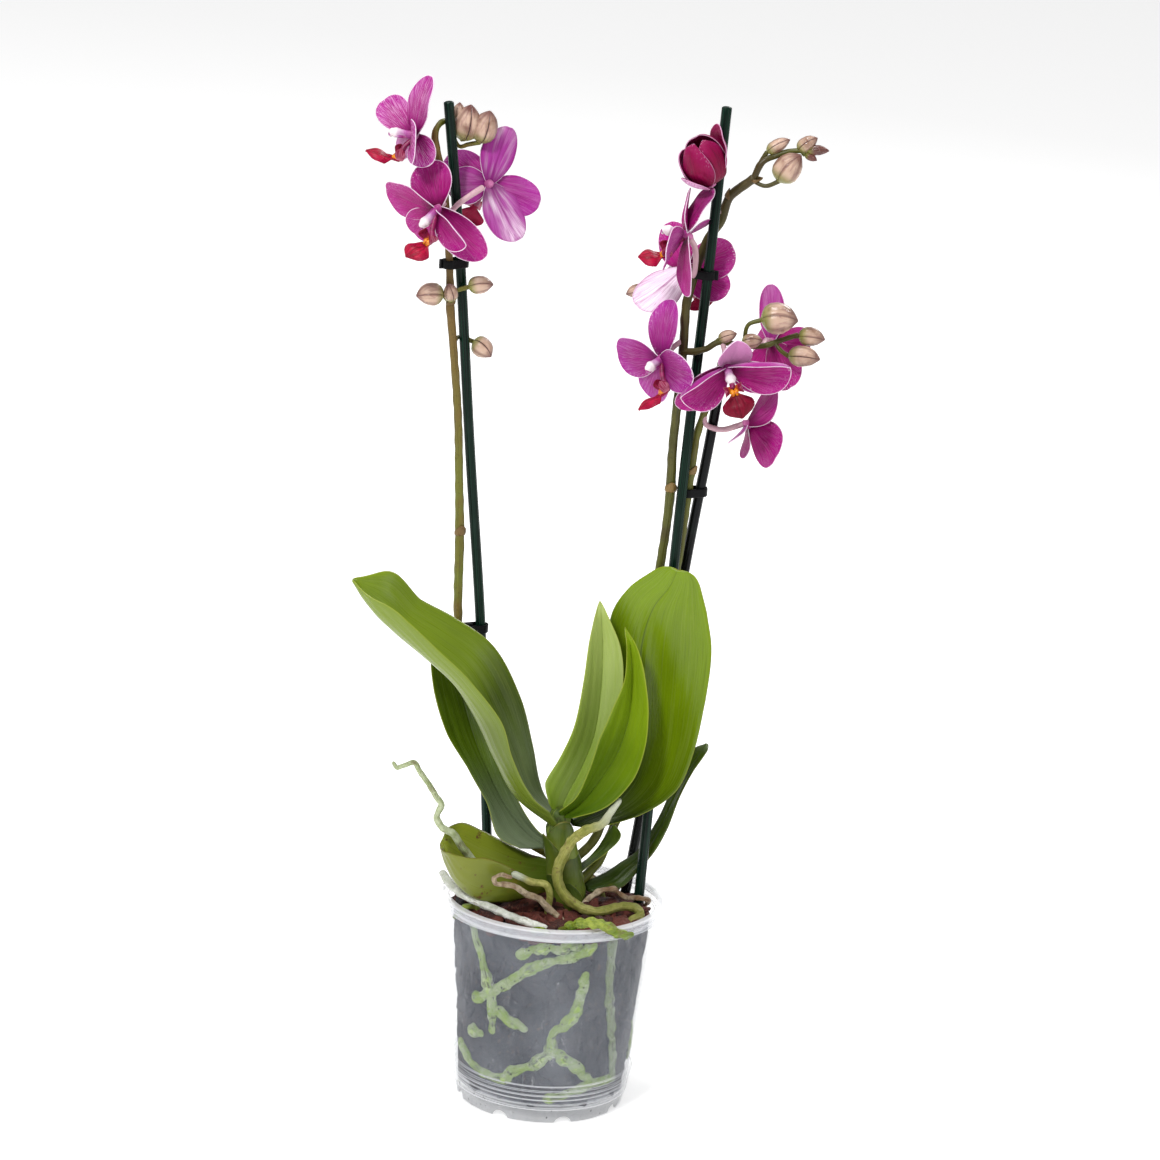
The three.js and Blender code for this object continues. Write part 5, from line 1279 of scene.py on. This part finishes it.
def add_bud(shape, base, tip, width, seed, kind):
    """A closed bud: an egg with three seams where its sepals meet, one of them near the front."""
    base, tip = vector(base), vector(tip)
    t = np.array([0, 0.05, 0.14, 0.28, 0.45, 0.62, 0.78, 0.9, 1.0]) * 0.985
    radii = width / 2 * np.array([0.2, 0.5, 0.8, 0.98, 1.0, 0.93, 0.72, 0.42, 0.1])
    along = unit(tip - base)
    bend = square_to((0.3, 0.2, 1.0), along) * width * 0.06
    path = base + (tip - base) * t[:, None] + bend * np.sin(math.pi * t)[:, None]
    across = square_to(np.cross(along, (0.1, 0.05, 1.0)), along)
    front = math.atan2(np.cross(along, across) @ (0, -1, 0.3), across @ (0, -1, 0.3))
    phase = math.pi - front + 0.7 * np.random.default_rng(seed).random() - 0.35
    seam = lambda a: np.exp(-((np.cos(1.5 * (a + phase))) / 0.13) ** 2)
    keel = lambda a: np.exp(-(np.sin(1.5 * (a + phase)) / 0.3) ** 2)
    before = shape.count
    sweep(shape, path, radii, sides=BUD_SIDES, step=width / 26, section=lambda a: 1 - 0.06 * seam(a),
          caps=(0.3, 0.3), rough=0.02, grain=width / 2, seed=seed, kind=kind)
    angle = TAU * np.arange(BUD_SIDES) / BUD_SIDES
    rows = (shape.count - before - 2) // BUD_SIDES
    for mark, values in (("seam", seam(angle)), ("keel", keel(angle))):
        shape.marks[mark][-1] = np.concatenate([np.tile(values, rows), [0, 0]])


def add_bract(shape, place, along, radius, turn):
    """A stem joint: a papery bract that clasps the stem and ends in a point."""
    along = unit(along)
    side = square_to((math.cos(turn), math.sin(turn), 0.2), along)
    t = np.linspace(0, 1, 12)[:, None]
    u = np.linspace(-1, 1, 13)[None, :]
    angle = u * 1.9 * (1 - 0.93 * t**1.6)
    reach = radius * (1.04 + 0.08 * np.sin(math.pi * t) + 0.1 * t)
    middle = spread(vector(place), (along, 5 * radius / 2.4 * t - 1), (side, np.cos(angle) * reach),
                    (np.cross(along, side), np.sin(angle) * reach))
    blade(shape, middle, 0.5, side, (u / 2 + 0.5, t), kind=1, along=0.5)


def build_spikes():
    """Each spike: its stem with branches and bracts, the stalks of its blooms, and its buds."""
    skins = {
        "left": stem_paint("stem_left", "#5a6014", "#685024", "#36280e", 0.95),
        "middle": stem_paint("stem_middle", "#4c4e18", "#3e3018", "#241a0e", 0.6),
        "right": stem_paint("stem_right", "#555d14", "#5c5022", "#36280e", 0.3),
    }
    bract = stem_paint("bract", "#80643a", "#4a3018", "#2a1a10")
    pedicel = stem_paint("pedicel", "#c89fae", "#d9c0bc", "#9a6a7e")
    bud_skins = [bud_paint("bud", "#7c5c4a", "#c0a28e"), bud_paint("bud_brown", "#38201c", "#6a4038")]
    for key, plan in SPIKES.items():
        name = "spray_" + key
        shape = Shape("along", "side")
        stem = vector(plan["stem"])
        count = len(stem)
        swell = np.array([0.3 if k in plan["joints"] else 0.0 for k in range(count)])
        radii = (2.4 if key == "middle" else 1.8 + 0.9 * np.arange(count) / count) + swell
        sweep(shape, stem, radii, sides=20, step=1.2, rough=0.05, grain=7, seed=9)
        for points in plan["branches"]:
            sweep(shape, points, np.linspace(1.9, 1.3, len(points)), step=1.2, rough=0.07, grain=6, seed=10)
        for k in plan["joints"] + plan.get("bracts", []):
            add_bract(shape, stem[k], stem[max(k - 1, 0)] - stem[k + 1], radii[k] + 0.1, 3 * k)
        make(name + "_stem", shape, [skins[key], bract], name)
        shape = Shape("along")
        for k, points in enumerate(plan["stalks"]):
            widths = np.linspace(1.35, 1.6, len(points))
            sweep(shape, points, widths, sides=14, step=1.0, rough=0.04, seed=20 + k)
        make(name + "_pedicels", shape, [pedicel], name)
        shape = Shape("along")
        buds = Shape("along", "seam", "keel")
        for k, (path, tip, width) in enumerate(plan["buds"]):
            widths = np.linspace(1.0, 1.25, len(path))
            sweep(shape, path, widths, sides=14, step=0.9, rough=0.03, seed=30 + k)
            add_bud(buds, path[-1], tip, width, 40 + k, width < 6)
        make(name + "_bud_stalks", shape, [skins[key]], name)
        make(name + "_buds", buds, bud_skins, name)


# ---------------------------------------------------------------- leaves


def leaf_paint(name, deep, bright, back, margin="#9aa032", brown=0.0, gloss=0.3, painted_sheen="#8f9a54", bloom=0.0,
               shade=0.0):
    """A waxy leaf: fine lines along it that carry a painted sheen, a groove at the midrib, a thin pale
    margin, duller underneath. It runs from `deep` near the base to `bright`; `bloom` paints a grey sheen over
    the base, `shade` paints a shadow along the left side below the tip, and `brown` is how stained it is."""
    paint = Paint("leaf_" + name)
    where = paint.place()
    u = paint.mapped(1, 1).axes()[0]
    rise = paint.mark("rise")
    fine = paint.mapped(70, 0.5).noise(1, 3, 0.6)
    hair = paint.mapped(190, 0.8).noise(1, 2, 0.6)
    wide = paint.mapped(5, 0.35).noise(1, 2, 0.5, 0.2)
    patch = where.noise(13, 2, 0.5, 0.3)
    tone = wide * 0.22 + patch * 0.5 + rise * 0.4
    # The grey layer over the base, by `bloom`, is a painted sheen.
    green = tone.step(0.3, 0.8).mix(deep, bright).layers((rise.step(0.5, 0.1) * bloom, "#8d9a80"))
    # `shade` paints a shadow along the left side, below the tip.
    if shade:
        green = green.layers((u.step(0.5, 0.12) * rise.step(0.85, 0.5) * shade, deep))
    # The fine lines carry a painted sheen.
    green = green.layers((fine.step(0.52, 0.72) * 0.16, painted_sheen), (hair.step(0.5, 0.3) * 0.25, deep))
    rib = abs(u - 0.5).step(0.012, 0.002)
    thin = (paint.mark("edge") + patch * 0.5).step(0.75, 0.25)
    top = green.layers((rib * 0.5, deep), (thin * 0.55, margin))
    under = tone.step(0.3, 0.75).mix(deep, back)
    under = under.layers((0.45, back), (rib * 0.3, "#7f8c3a"), (thin * 0.5, margin))
    colour = paint.mark("side").step(0.35, 0.65).mix(under, top)
    if brown:
        spots = where.noise(150, 4, 0.7).step(0.6, 0.68)
        stain = where.noise(40, 3, 0.6, 0.6).step(0.56, 0.7)
        colour = colour.layers((stain * brown * 0.6, "#7c6c24"), (spots * brown, "#54381e"))
    bumps = (fine * 0.8 + hair * 0.3 + wide * 0.5).bump(0.2, 0.0005)
    return paint.finish(colour, fine.step(0.3, 0.7, gloss - 0.03, gloss + 0.08), bumps, glow=0.03,
                        reach=(0.002, 0.004, 0.0008), shine=0.28)


# How each leaf ends (0.5 is round, 1 is pointed), how much its margin waves, in mm, and its skin, whose
# `bloom` is a painted grey sheen and `shade` a painted shadow.
LEAF_LOOKS = {
    "left": (0.75, 0.9, dict(deep="#1d2b04", bright="#6a8012", back="#72842a", gloss=0.28, bloom=0.35)),
    "right": (0.32, 0.8, dict(deep="#1a2a02", bright="#728c08", back="#55691c", gloss=0.24, shade=0.85)),
    "mid_front": (0.8, 0.6, dict(deep="#365006", bright="#7a9410", back="#6a8420")),
    # mid_back's pale, greyish colours paint the grey sheen that lies on it.
    "mid_back": (0.7, 0.5, dict(deep="#748f1c", bright="#a4b464", back="#96a650", painted_sheen="#c4cca0")),
    "left_back": (0.6, 0.7, dict(deep="#2a3b05", bright="#587010", back="#4c5f22", painted_sheen="#8f9a70",
                                 bloom=0.45, gloss=0.24)),
    "low_right": (0.5, 0.6, dict(deep="#2c400a", bright="#4f6616", back="#506226", margin="#6f5a30",
                                 brown=0.5)),
    "low_left": (0.6, 0.8, dict(deep="#3e500b", bright="#7c8622", back="#6e7524", margin="#6a5026",
                                brown=1.0)),
    "small": (0.6, 0.3, dict(deep="#2a3d0a", bright="#51691a", back="#50632a", bloom=0.3)),
}


def build_leaf(key, rows_given):
    """A leaf through rows of three points (left margin, midrib, right margin), from its tip down."""
    tip_power, wave, look = LEAF_LOOKS[key]
    name = "leaf_" + key
    given = vector(rows_given)
    last = len(given) - 1
    s = np.linspace(0, 1, 110)
    places = last * (0.6 * s**2 + 0.4 * s)
    places[0] = 0.0005
    fine = np.linspace(0, last, 30 * last + 1)
    run = running_length(along_curve(given[:, 1], fine))
    length = np.interp(places, fine, run)[:, None]
    knots = np.maximum(run[::30], 1e-3)[:, None] ** tip_power
    halves = (given[:, 2] - given[:, 0]) / 2 / knots
    sags = ((given[:, 0] + given[:, 2]) / 2 - given[:, 1]) / knots
    halves[0], sags[0] = halves[1], 0.4 * sags[1]
    half, sag = (along_curve(values, places) * length**tip_power for values in (halves, sags))
    u = across_row(45, 0.55)
    width = np.linalg.norm(half, axis=1)[:, None]
    rib = along_curve(given[:, 1], places)
    middle = rib[:, None] + half[:, None] * u[..., None] + sag[:, None] * (np.abs(u) ** 1.45)[..., None]
    normal = unit(np.cross(np.gradient(middle, axis=0), np.gradient(middle, axis=1)))
    up = np.array([0, -0.6, 1.0])
    if (normal * up).sum() < 0:
        normal = -normal
    swing = wave * ripple(np.stack([length, 0 * length, 0 * length], -1), 55, len(name) + last) * u**2
    ribs = 0.1 * np.cos(u * width * TAU / 4.2) * smoothly(1, 0.75, np.abs(u))
    groove = 0.8 * np.exp(-(u * np.maximum(width, 4)) ** 2) * smoothly(0, 12, length)
    middle = middle + normal * (swing + ribs - groove)[..., None]
    edge = np.minimum((1 - np.abs(u)) * width, length)
    thick = (1.1 + 1.2 * np.maximum(0, 1 - 1.4 * np.abs(u))) * thinned(edge, 1.2)
    shape = Shape("edge", "side", "rise")
    blade(shape, middle, thick, up, (u / 2 + 0.5, length / 30), edge=edge, rise=1 - length / length[-1])
    make(name + "_blade", shape, [leaf_paint(key, **look)], name)


# ---------------------------------------------------------------- blooms


def petal_paint(name, throat, deep, mid, pale, rim, back, back_vein, lace):
    """A petal's skin: smooth and deep inside, with pale veins and rows of dots that radiate
    outward and a thin pale rim, and a lighter, streaky back with a mauve midline. The map's u is
    the place across, its v along the petal. The mark `tone` is above 0 for a whiter tepal, and
    below 0 for one whose back is deep too."""
    paint = Paint(name)
    where = paint.place()
    u, v = paint.mapped(1, 1).axes()[:2]
    tone = paint.mark("tone")
    warp = (where.noise(160, 2) - 0.5) * 0.05
    fan = (u - 0.5) / (v * 0.8 + 0.22) + warp

    def fanned(across, along):
        return node(paint.tree, "CombineXYZ", fan * across, v * along, tone * 9.0)[0]

    veins = fanned(15.0, 0.9).streak(1.5, 0.06)
    rays = fanned(12.0, 0.7).streak(2.3, 0.075)
    dots = fanned(18.0, 15.0).cells(1.0, 0.55).step(0.32, 0.14)
    wash = fanned(3.5, 1.1).noise(1.0, 2, 0.5).step(0.36, 0.66)
    fleck = where.noise(1500, 2).step(0.52, 0.62)
    off = abs((u - 0.5) * 2.0)
    outer = (v * 0.85 + off * 0.4).step(0.42, 1.0)
    patch = where.noise(80, 3, 0.5, 0.5)
    edge = paint.mark("edge") + patch * 0.4
    line = edge.step(0.68, 0.34)
    dotted = dots * outer.step(0.6, 1.3).most(edge.step(3.4, 0.5)) * where.noise(45, 2).step(0.42, 0.58)
    skin = v.step(0.0, 0.34).mix(throat, deep)
    skin = skin.layers(
        ((outer + patch * 0.4).step(0.3, 1.2), mid), (veins * outer.step(1.0, 0.0) * 0.6, throat),
        (rays * v.step(0.12, 0.45) * lace, pale), (dotted * 0.55, rim),
        (fleck * outer.step(0.3, 1.0) * 0.12, pale), (line * 0.75, rim), (tone.step(0.0, 1.0) * 0.7, pale))
    white = wash * off.step(0.9, 0.35) * v.step(0.04, 0.3) * tone.step(-0.3, 1.0, 0.25, 0.95)
    reverse = v.step(0.05, 0.4).mix(back_vein, back).layers(
        (tone.step(0.4, 1.0) * 0.85, rim), (white * 0.9, rim),
        (off.step(0.55, 1.0) * tone.step(1.4, 0.4) * 0.7, mid), (veins * 0.45, back_vein), (rays * 0.12, mid),
        (off.step(0.06, 0.015) * v.step(1.05, 0.4) * 0.6, back_vein), (edge.step(2.0, 0.7) * 0.35, back_vein),
        (line * 0.8, rim), (tone.step(0.0, -1.0), skin))
    colour = paint.mark("side").step(0.3, 0.7).mix(reverse, skin)
    height = veins * -0.6 + rays * 0.5 + dots * 0.3 + fleck * 0.2
    return paint.finish(colour, patch.step(0.3, 0.7, 0.4, 0.54), height.bump(0.35, 0.0004), glow=0.04,
                        reach=(0.003, 0.0012, 0.0025), shine=0.12)


# The colours of each petal skin, in the order that petal_paint takes them, and its lace.
PETAL_LOOKS = {
    "petal": ("#520030", "#98046a", "#9c0c74", "#d49ac6", "#f0deed", "#a83c96", "#84206f", 0.12),
    "petal_laced": ("#5c0040", "#980a72", "#9c1480", "#dca8d0", "#f4e6f2", "#a83c96", "#882c76", 0.5),
    "petal_veined": ("#600a4c", "#901272", "#981c84", "#cc94c2", "#f4e6f2", "#a23a94", "#7c206c", 0.25),
    "petal_dark": ("#38001c", "#780034", "#840644", "#a83c80", "#d8a8c8", "#b880ac", "#7c1a5e", 0.05),
}
SPECIAL_SKINS = {"a": "petal_laced", "c": "petal_veined", "g": "petal_veined"}


def outline(t, claw, widest, square):
    """A tepal's width along it, as a share: a narrow claw, the widest place, a rounded end."""
    rise = claw + (1 - claw) * np.sin(math.pi / 2 * np.clip(t / widest, 0, 1)) ** 0.85
    fall = np.sqrt(np.maximum(0, 1 - np.clip((t - widest) / (1 - widest), 0, 1) ** square))
    return np.where(t < widest, rise, fall)


def add_tepal(shape, centre, reach, seed, face, width, arch, cup, claw, widest, square, roll=(0, 0), wave=0.5,
              tone=0.0):
    """A petal or sepal from `centre` along `reach`, whose upper side looks along `face`. `roll` is
    how far each margin turns forward, in degrees."""
    columns = 31
    reach = vector(reach)
    long = np.linalg.norm(reach)
    along = reach / long
    normal = square_to(face, along)
    t = down_column(38, 1.8)
    t[-1] = 0.9992
    u = across_row(columns)
    share = outline(t, claw, widest, square)
    between = (u[0, 1:] + u[0, :-1]) / 2
    bend = np.radians(np.where(between < 0, *roll)) * smoothly(0.1, 0.9, np.abs(between)) * np.sign(between)
    runs = [np.concatenate([[0], np.cumsum(part(bend) * np.diff(u[0]))]) for part in (np.cos, np.sin)]
    flat, rise = (run - run[columns // 2] for run in runs)
    side = width / 2 * share * flat
    lift = np.sin(math.pi * t) * arch * long + u**2 * share * cup * width + width / 2 * share * rise
    spots = np.stack([side, t * long + 0 * u, np.full_like(side, 9.7 * seed)], -1)
    lift = lift + wave * ripple(spots, 17, seed, 6) * (0.15 + u**2) * share
    lift = lift - 0.3 * np.exp(-(side / 0.7) ** 2) * np.sin(math.pi * t)
    middle = spread(centre, (reach, t), (np.cross(along, normal), side), (normal, lift))
    edge = np.minimum((1 - np.abs(u)) * width / 2 * share, (1 - t) * long * 0.8)
    thick = (0.62 + 0.3 * (1 - u**2) * (1 - t)) * thinned(edge, 0.5)
    blade(shape, middle, thick, normal, (0.5 + 0.5 * u * share, t), edge=edge, tone=tone)


# How the tepals of a bloom differ from the usual: for sepals 0 to 2 and petals 3 and 4.
TEPAL_FORMS = {
    "a": {
        0: dict(face=(-11, -7, 1), wave=0.7, square=1.7, widest=0.5, width=22),
        1: dict(face=(-5, -9, 2), width=13, tone=0.5), 2: dict(face=(-6, -9, 3), tone=-1, width=17),
        3: dict(face=(-0.5, -1, 0.9), width=18, widest=0.6, square=2.6),
        4: dict(face=(-1, -0.1, 0), width=23, cup=0.02, tone=-0.5),
    },
    "b": {
        0: dict(face=(-4, -14, 7), width=23, roll=(10, 25)),
        2: dict(face=(-5, -13, 1), width=21, roll=(20, 10)),
        3: dict(width=25), 4: dict(width=20, roll=(25, 60)),
    },
    "c": {
        0: dict(width=19, tone=0.15), 1: dict(tone=-0.5), 2: dict(width=22, tone=0.5),
        3: dict(tone=-0.6, width=21), 4: dict(tone=-1),
    },
    "e": {
        0: dict(face=(-1, -0.06, 0.02), width=18, tone=-1),
        1: dict(width=14, face=(-0.8, -0.7, 0.3), tone=-0.5),
        2: dict(face=(-0.9, -0.35, 0.1), width=18, tone=-0.8),
        3: dict(face=(-0.9, -0.45, 0.2), width=17, cup=0.02, tone=-0.3),
        4: dict(face=(-0.97, -0.24, 0), width=24, tone=-0.5),
    },
    "f": {**{k: dict(tone=-1) for k in (0, 1, 3)}, 2: dict(tone=1, width=23), 4: dict(tone=1, width=18)},
    "g": {1: dict(tone=0.2), 4: dict(roll=(0, 20))},
    "h": {
        0: dict(tone=1, width=20, roll=(50, 0)), 3: dict(roll=(30, 75), width=26),
        4: dict(roll=(75, 20), width=27),
    },
    "i": {0: dict(tone=-0.3, roll=(0, -35), width=15), **{k: dict(tone=-1) for k in (1, 2, 3, 4)}},
    "j": {
        0: dict(tone=-0.8), 1: dict(tone=0.4, width=8), 2: dict(tone=-0.9, width=14), 3: dict(tone=-1),
        4: dict(tone=-0.6, roll=(30, 30)),
    },
}


def column_paint():
    """The column: mauve, white at its cap."""
    paint = Paint("column")
    mottle = paint.place().noise(500, 3)
    colour = (paint.mark("along") + (mottle - 0.5) * 0.3).ramp(
        (0.0, "#bb6c9c"), (0.25, "#8f1f6c"), (0.5, "#a44b93"), (0.72, "#c9a3c4"), (0.9, "#e6dde0"))
    return paint.finish(colour, 0.38, mottle.bump(0.3, 0.0004), glow=0.06, reach=(0.002, 0.0015, 0.002),
                        shine=0.3)


def add_column(shape, at, column):
    """The column: short and stout, with a rounded cap and a small beak that turns down."""
    face = unit(column)
    long = min(np.linalg.norm(column), 14.5) - 2
    end = at + long * face
    path = [at - 3 * face, *(at + share * long * face for share in (0, 0.3, 0.6, 0.84)), end]
    sweep(shape, path, [1.6, 2.7, 2.1, 2.2, 2.8, 2.1], sides=24, step=0.5, caps=(0.5, 0.9), rough=0.04,
          grain=4, kind=1)
    down = square_to((0, 0, -1.0), face)
    beak = [end + a * face + b * down for a, b in ((0.5, 0.4), (1.0, 1.4), (0.5, 2.5))]
    sweep(shape, beak, [1.4, 1.1, 0.45], sides=14, step=0.4, caps=(0.8, 0.8), kind=1)
    for sign in (-1, 1):
        out = np.cross(face, down) * sign
        wing = [at + 0.35 * long * face + 1.2 * out + 1.2 * down,
                at + 0.7 * long * face + 1.6 * out + 1.3 * down, end + 1.2 * out + 1.1 * down - 0.4 * face]
        sweep(shape, wing, [0.7, 1.0, 0.7], sides=12, step=0.4, caps=(0.8, 0.8), kind=1)


def build_bloom(key, plan, petal, column):
    shape = Shape("along", "edge", "side", "tone")
    face = unit(plan["column"])
    at = vector(plan["at"])
    sepal_form = dict(width=20, arch=0.05, cup=0.08, claw=0.2, widest=0.52, square=2.1)
    petal_form = dict(width=23.5, arch=0.04, cup=0.06, claw=0.14, widest=0.56, square=2.4)
    for k, reach in enumerate(plan["sepals"] + plan["petals"]):
        usual, offset = (sepal_form, -0.8) if k < 3 else (petal_form, 1.0)
        form = {"face": plan["column"], **usual, **TEPAL_FORMS.get(key, {}).get(k, {})}
        add_tepal(shape, at + offset * face, reach, seed=10 * ord(key) + k, **form)
    add_column(shape, at, vector(plan["column"]))
    make("bloom_%s_tepals" % key, shape, [petal, column], "bloom_" + key)


# ---------------------------------------------------------------- lips


def lobe_paint():
    """The lip's middle lobe: crimson, darker along its veins and middle, orange near the throat."""
    paint = Paint("lip_lobe")
    u, v = paint.mapped(1, 1).axes()[:2]
    off = abs((u - 0.5) * 2.0)
    veins = paint.mapped(6, 0.8).streak(1.5, 0.06)
    patch = paint.place().noise(230, 3)
    red = patch.step(0.35, 0.65).mix("#860626", "#aa0a36").layers(
        (veins * 0.5, "#5a0418"), (off.step(0.5, 1.0) * 0.4, "#9c1040"),
        (off.step(0.1, 0.0) * 0.5, "#560418"), (paint.mark("tone") * 0.7, "#52061c"),
        (v.step(0.3, 0.12) * 0.85, "#cf6a16"))
    red = paint.mark("side").step(0.3, 0.7).mix("#8c1038", red)
    return paint.finish(red, patch.step(0.3, 0.7, 0.34, 0.46), veins.bump(0.35, 0.0003), glow=0.03,
                        reach=(0.003, 0.001, 0.001), shine=0.14)


def wing_paint():
    """The lip's side lobes: striped, paler outside."""
    paint = Paint("lip_wings")
    v = paint.mapped(1, 1).axes()[1]
    stripes = paint.mapped(5, 0.6).streak(1.4, 0.1)
    inside = (stripes * 0.8).mix("#8c1440", "#520620").layers(
        (v.step(0.3, 0.0), "#c8661c"), (v.step(0.5, 1.0), "#74082c"))
    outside = (stripes * 0.35).mix("#7e0e38", "#c888a0").layers((v.step(0.4, 0.0), "#b85c74"))
    colour = paint.mark("side").step(0.3, 0.7).mix(outside, inside)
    return paint.finish(colour, 0.42, stripes.bump(0.25, 0.0003), glow=0.04, reach=(0.003, 0.0015, 0.0015),
                        shine=0.16)


def lip_paints():
    paint = Paint("lip_callus")
    spots = paint.place().noise(900, 2).step(0.52, 0.6)
    callus = paint.finish((spots * 0.8).mix("#e08a12", "#a8260e"), 0.28, spots.bump(0.3, 0.0003), glow=0.05)
    paint = Paint("lip_foot")
    mottle = paint.place().noise(500, 3)
    foot = paint.finish(mottle.step(0.4, 0.6).mix("#6c0c3c", "#8e2258"), 0.42, mottle.bump(0.3, 0.0003))
    return [lobe_paint(), wing_paint(), callus, foot]


# The half width of a lip's middle lobe, in mm, at shares of its length.
LOBE_PLACES = [0, 0.08, 0.16, 0.24, 0.34, 0.46, 0.58, 0.7, 0.8, 0.88, 0.95, 1]
LOBE_WIDTHS = [1.3, 1.7, 1.7, 2.6, 4.6, 6.0, 6.4, 6.0, 4.7, 2.9, 1.2, 0.12]


def add_middle_lobe(shape, root, axis, across, normal, broad, tone):
    t, u = down_column(44, 1.6), across_row(25)
    shield = smoothly(0.2, 0.45, t)
    half = np.interp(t, LOBE_PLACES, LOBE_WIDTHS) * (1 + (broad - 1) * shield)
    lift = (1.4 * (1 - shield) * u**2 - 0.9 - 2.2 * shield * u**2 * half / 6
            + 2.2 * np.sin(math.pi * smoothly(0.15, 1.15, t)) - 0.5 * np.exp(-(u / 0.12) ** 2) * shield
            + 0.25 * np.sin(9 * t + 3 * u) * shield * np.abs(u))
    edge = np.minimum((1 - np.abs(u)) * half, (1 - t) * np.linalg.norm(axis))
    middle = spread(root, (axis, t), (across, half * u), (normal, lift))
    blade(shape, middle, thinned(edge, 0.6), normal, (0.5 + 0.5 * u, t), edge=edge, tone=tone)


def add_side_lobe(shape, root, axis, across, normal, sign):
    """One of the lobes that stand up beside the column, and the bead of the callus beside it."""
    long = np.linalg.norm(axis)
    along = axis / long
    r, q = down_column(20), across_row(19)
    reach = 3.7 * np.sqrt(np.maximum(1 - np.maximum(0, (r - 0.4) / 0.6) ** 2.2, 0.0001)) * (0.45 + 0.6 * r)
    lean = (1.2 + 4.6 * np.sin(r * 1.7) - 2.8 * r**2.2) * sign
    middle = spread(root, (along, 0.04 * long + reach * q + 1.2 * r), (across, lean + sign * 0.9 * q**2 * r),
                    (normal, 7.4 * r - r * q**2))
    edge = np.minimum((1 - np.abs(q)) * reach, (1 - r) * 6)
    blade(shape, middle, 0.8 * thinned(edge, 0.5), -across * sign, (0.5 + 0.5 * q, r), kind=1, edge=edge)
    bead = root + axis * 0.15 + across * sign + normal * 0.5
    path = [bead - along * 1.1, bead + normal * 0.8, bead + along * 1.3]
    sweep(shape, path, [0.9, 1.4, 0.8], sides=12, step=0.3, caps=(0.9, 0.9), kind=2)


def build_lip(key, plan, paints, broad, tone):
    """The lip: a foot, two side lobes, a callus and a shield-shaped middle lobe that ends in a point."""
    at, throat = vector(plan["at"]), vector(plan["throat"])
    root = at + throat
    axis = plan["lip"] - throat
    normal = square_to(plan.get("rise", plan["column"]), unit(axis))
    across = np.cross(unit(axis), normal)
    shape = Shape("along", "edge", "side", "tone")
    add_middle_lobe(shape, root, axis, across, normal, broad, tone)
    for sign in (-1, 1):
        add_side_lobe(shape, root, axis, across, normal, sign)
    foot = [at + unit(throat) * 2.4, at + throat * 0.5 + unit(plan["column"]) * 1.6, root]
    sweep(shape, foot, [1.2, 1.4, 1.6], step=0.5, kind=3, side=1.0)
    make("lip_%s_lobes" % key, shape, paints, "lip_" + key)


# ---------------------------------------------------------------- the opening bloom


def add_shell(shape, base, axis, seed, radius, tall, azimuth, half_spread, close, tone, blunt):
    """A tepal of a half-open bloom: a curved shell that stands round the axis and bends over."""
    side = square_to((1.0, 0.3, 0.2), axis)
    t, u = down_column(30, 1.6), across_row(27)
    t[-1] = 0.9992
    share = outline(t, 0.35, 0.5, blunt)
    polar = math.pi * close * t
    angle = math.radians(azimuth) + math.radians(half_spread) * share * u
    grain = np.stack([angle * radius, t * tall + 0 * u, 0 * angle + 9 * seed], -1)
    out = radius * np.sin(polar * 0.98 + 0.1) ** 0.85 + 0.6 * ripple(grain, 12, seed)
    up = tall * (1 - np.cos(polar)) / 1.9 - 0.9 * u**2 * share
    middle = spread(base, (axis, up), (side, out * np.cos(angle)),
                    (np.cross(axis, side), out * np.sin(angle)))
    edge = np.minimum((1 - np.abs(u)) * share * radius * math.radians(half_spread), (1 - t) * tall)
    inward = base + axis * tall / 2 - middle
    blade(shape, middle, 0.7 * thinned(edge, 0.5), inward, (0.5 + 0.5 * u * share, t), edge=edge, tone=tone)


def build_opening(petal, column):
    """The bloom that is still opening: its tepals stand round a cup and bend over it."""
    at, axis = vector(OPENING["at"]), unit(OPENING["axis"])
    shape = Shape("along", "edge", "side", "tone")
    for k, form in enumerate(OPENING["shells"]):
        add_shell(shape, at - 0.5 * axis, axis, 300 + k, *form)
    sweep(shape, [at - 2.5 * axis, at + axis, at + 9 * axis], [2, 3.2, 2], sides=20, step=0.6, kind=1)
    make("bloom_d_tepals", shape, [petal, column], "bloom_d")


def build_blooms():
    """All open blooms with their lips, and the one that is opening."""
    skins = {name: petal_paint(name, *look) for name, look in PETAL_LOOKS.items()}
    column = column_paint()
    lips = lip_paints()
    for key, plan in BLOOMS.items():
        build_bloom(key, plan, skins[SPECIAL_SKINS.get(key, "petal")], column)
        broad, tone = (1.35, 1.0) if key == "h" else (1.25, 0.0)
        build_lip(key, plan, lips, broad, tone)
    build_opening(skins["petal_dark"], column)


# ---------------------------------------------------------------- the whole

set_camera()
set_light()
add_floor()
build_pot()
build_bark()
build_aerial_roots()
build_wall_roots()
build_stakes()
build_clips()
build_crown()
build_spikes()
for leaf_key, leaf_rows in LEAVES.items():
    build_leaf(leaf_key, leaf_rows)
build_blooms()
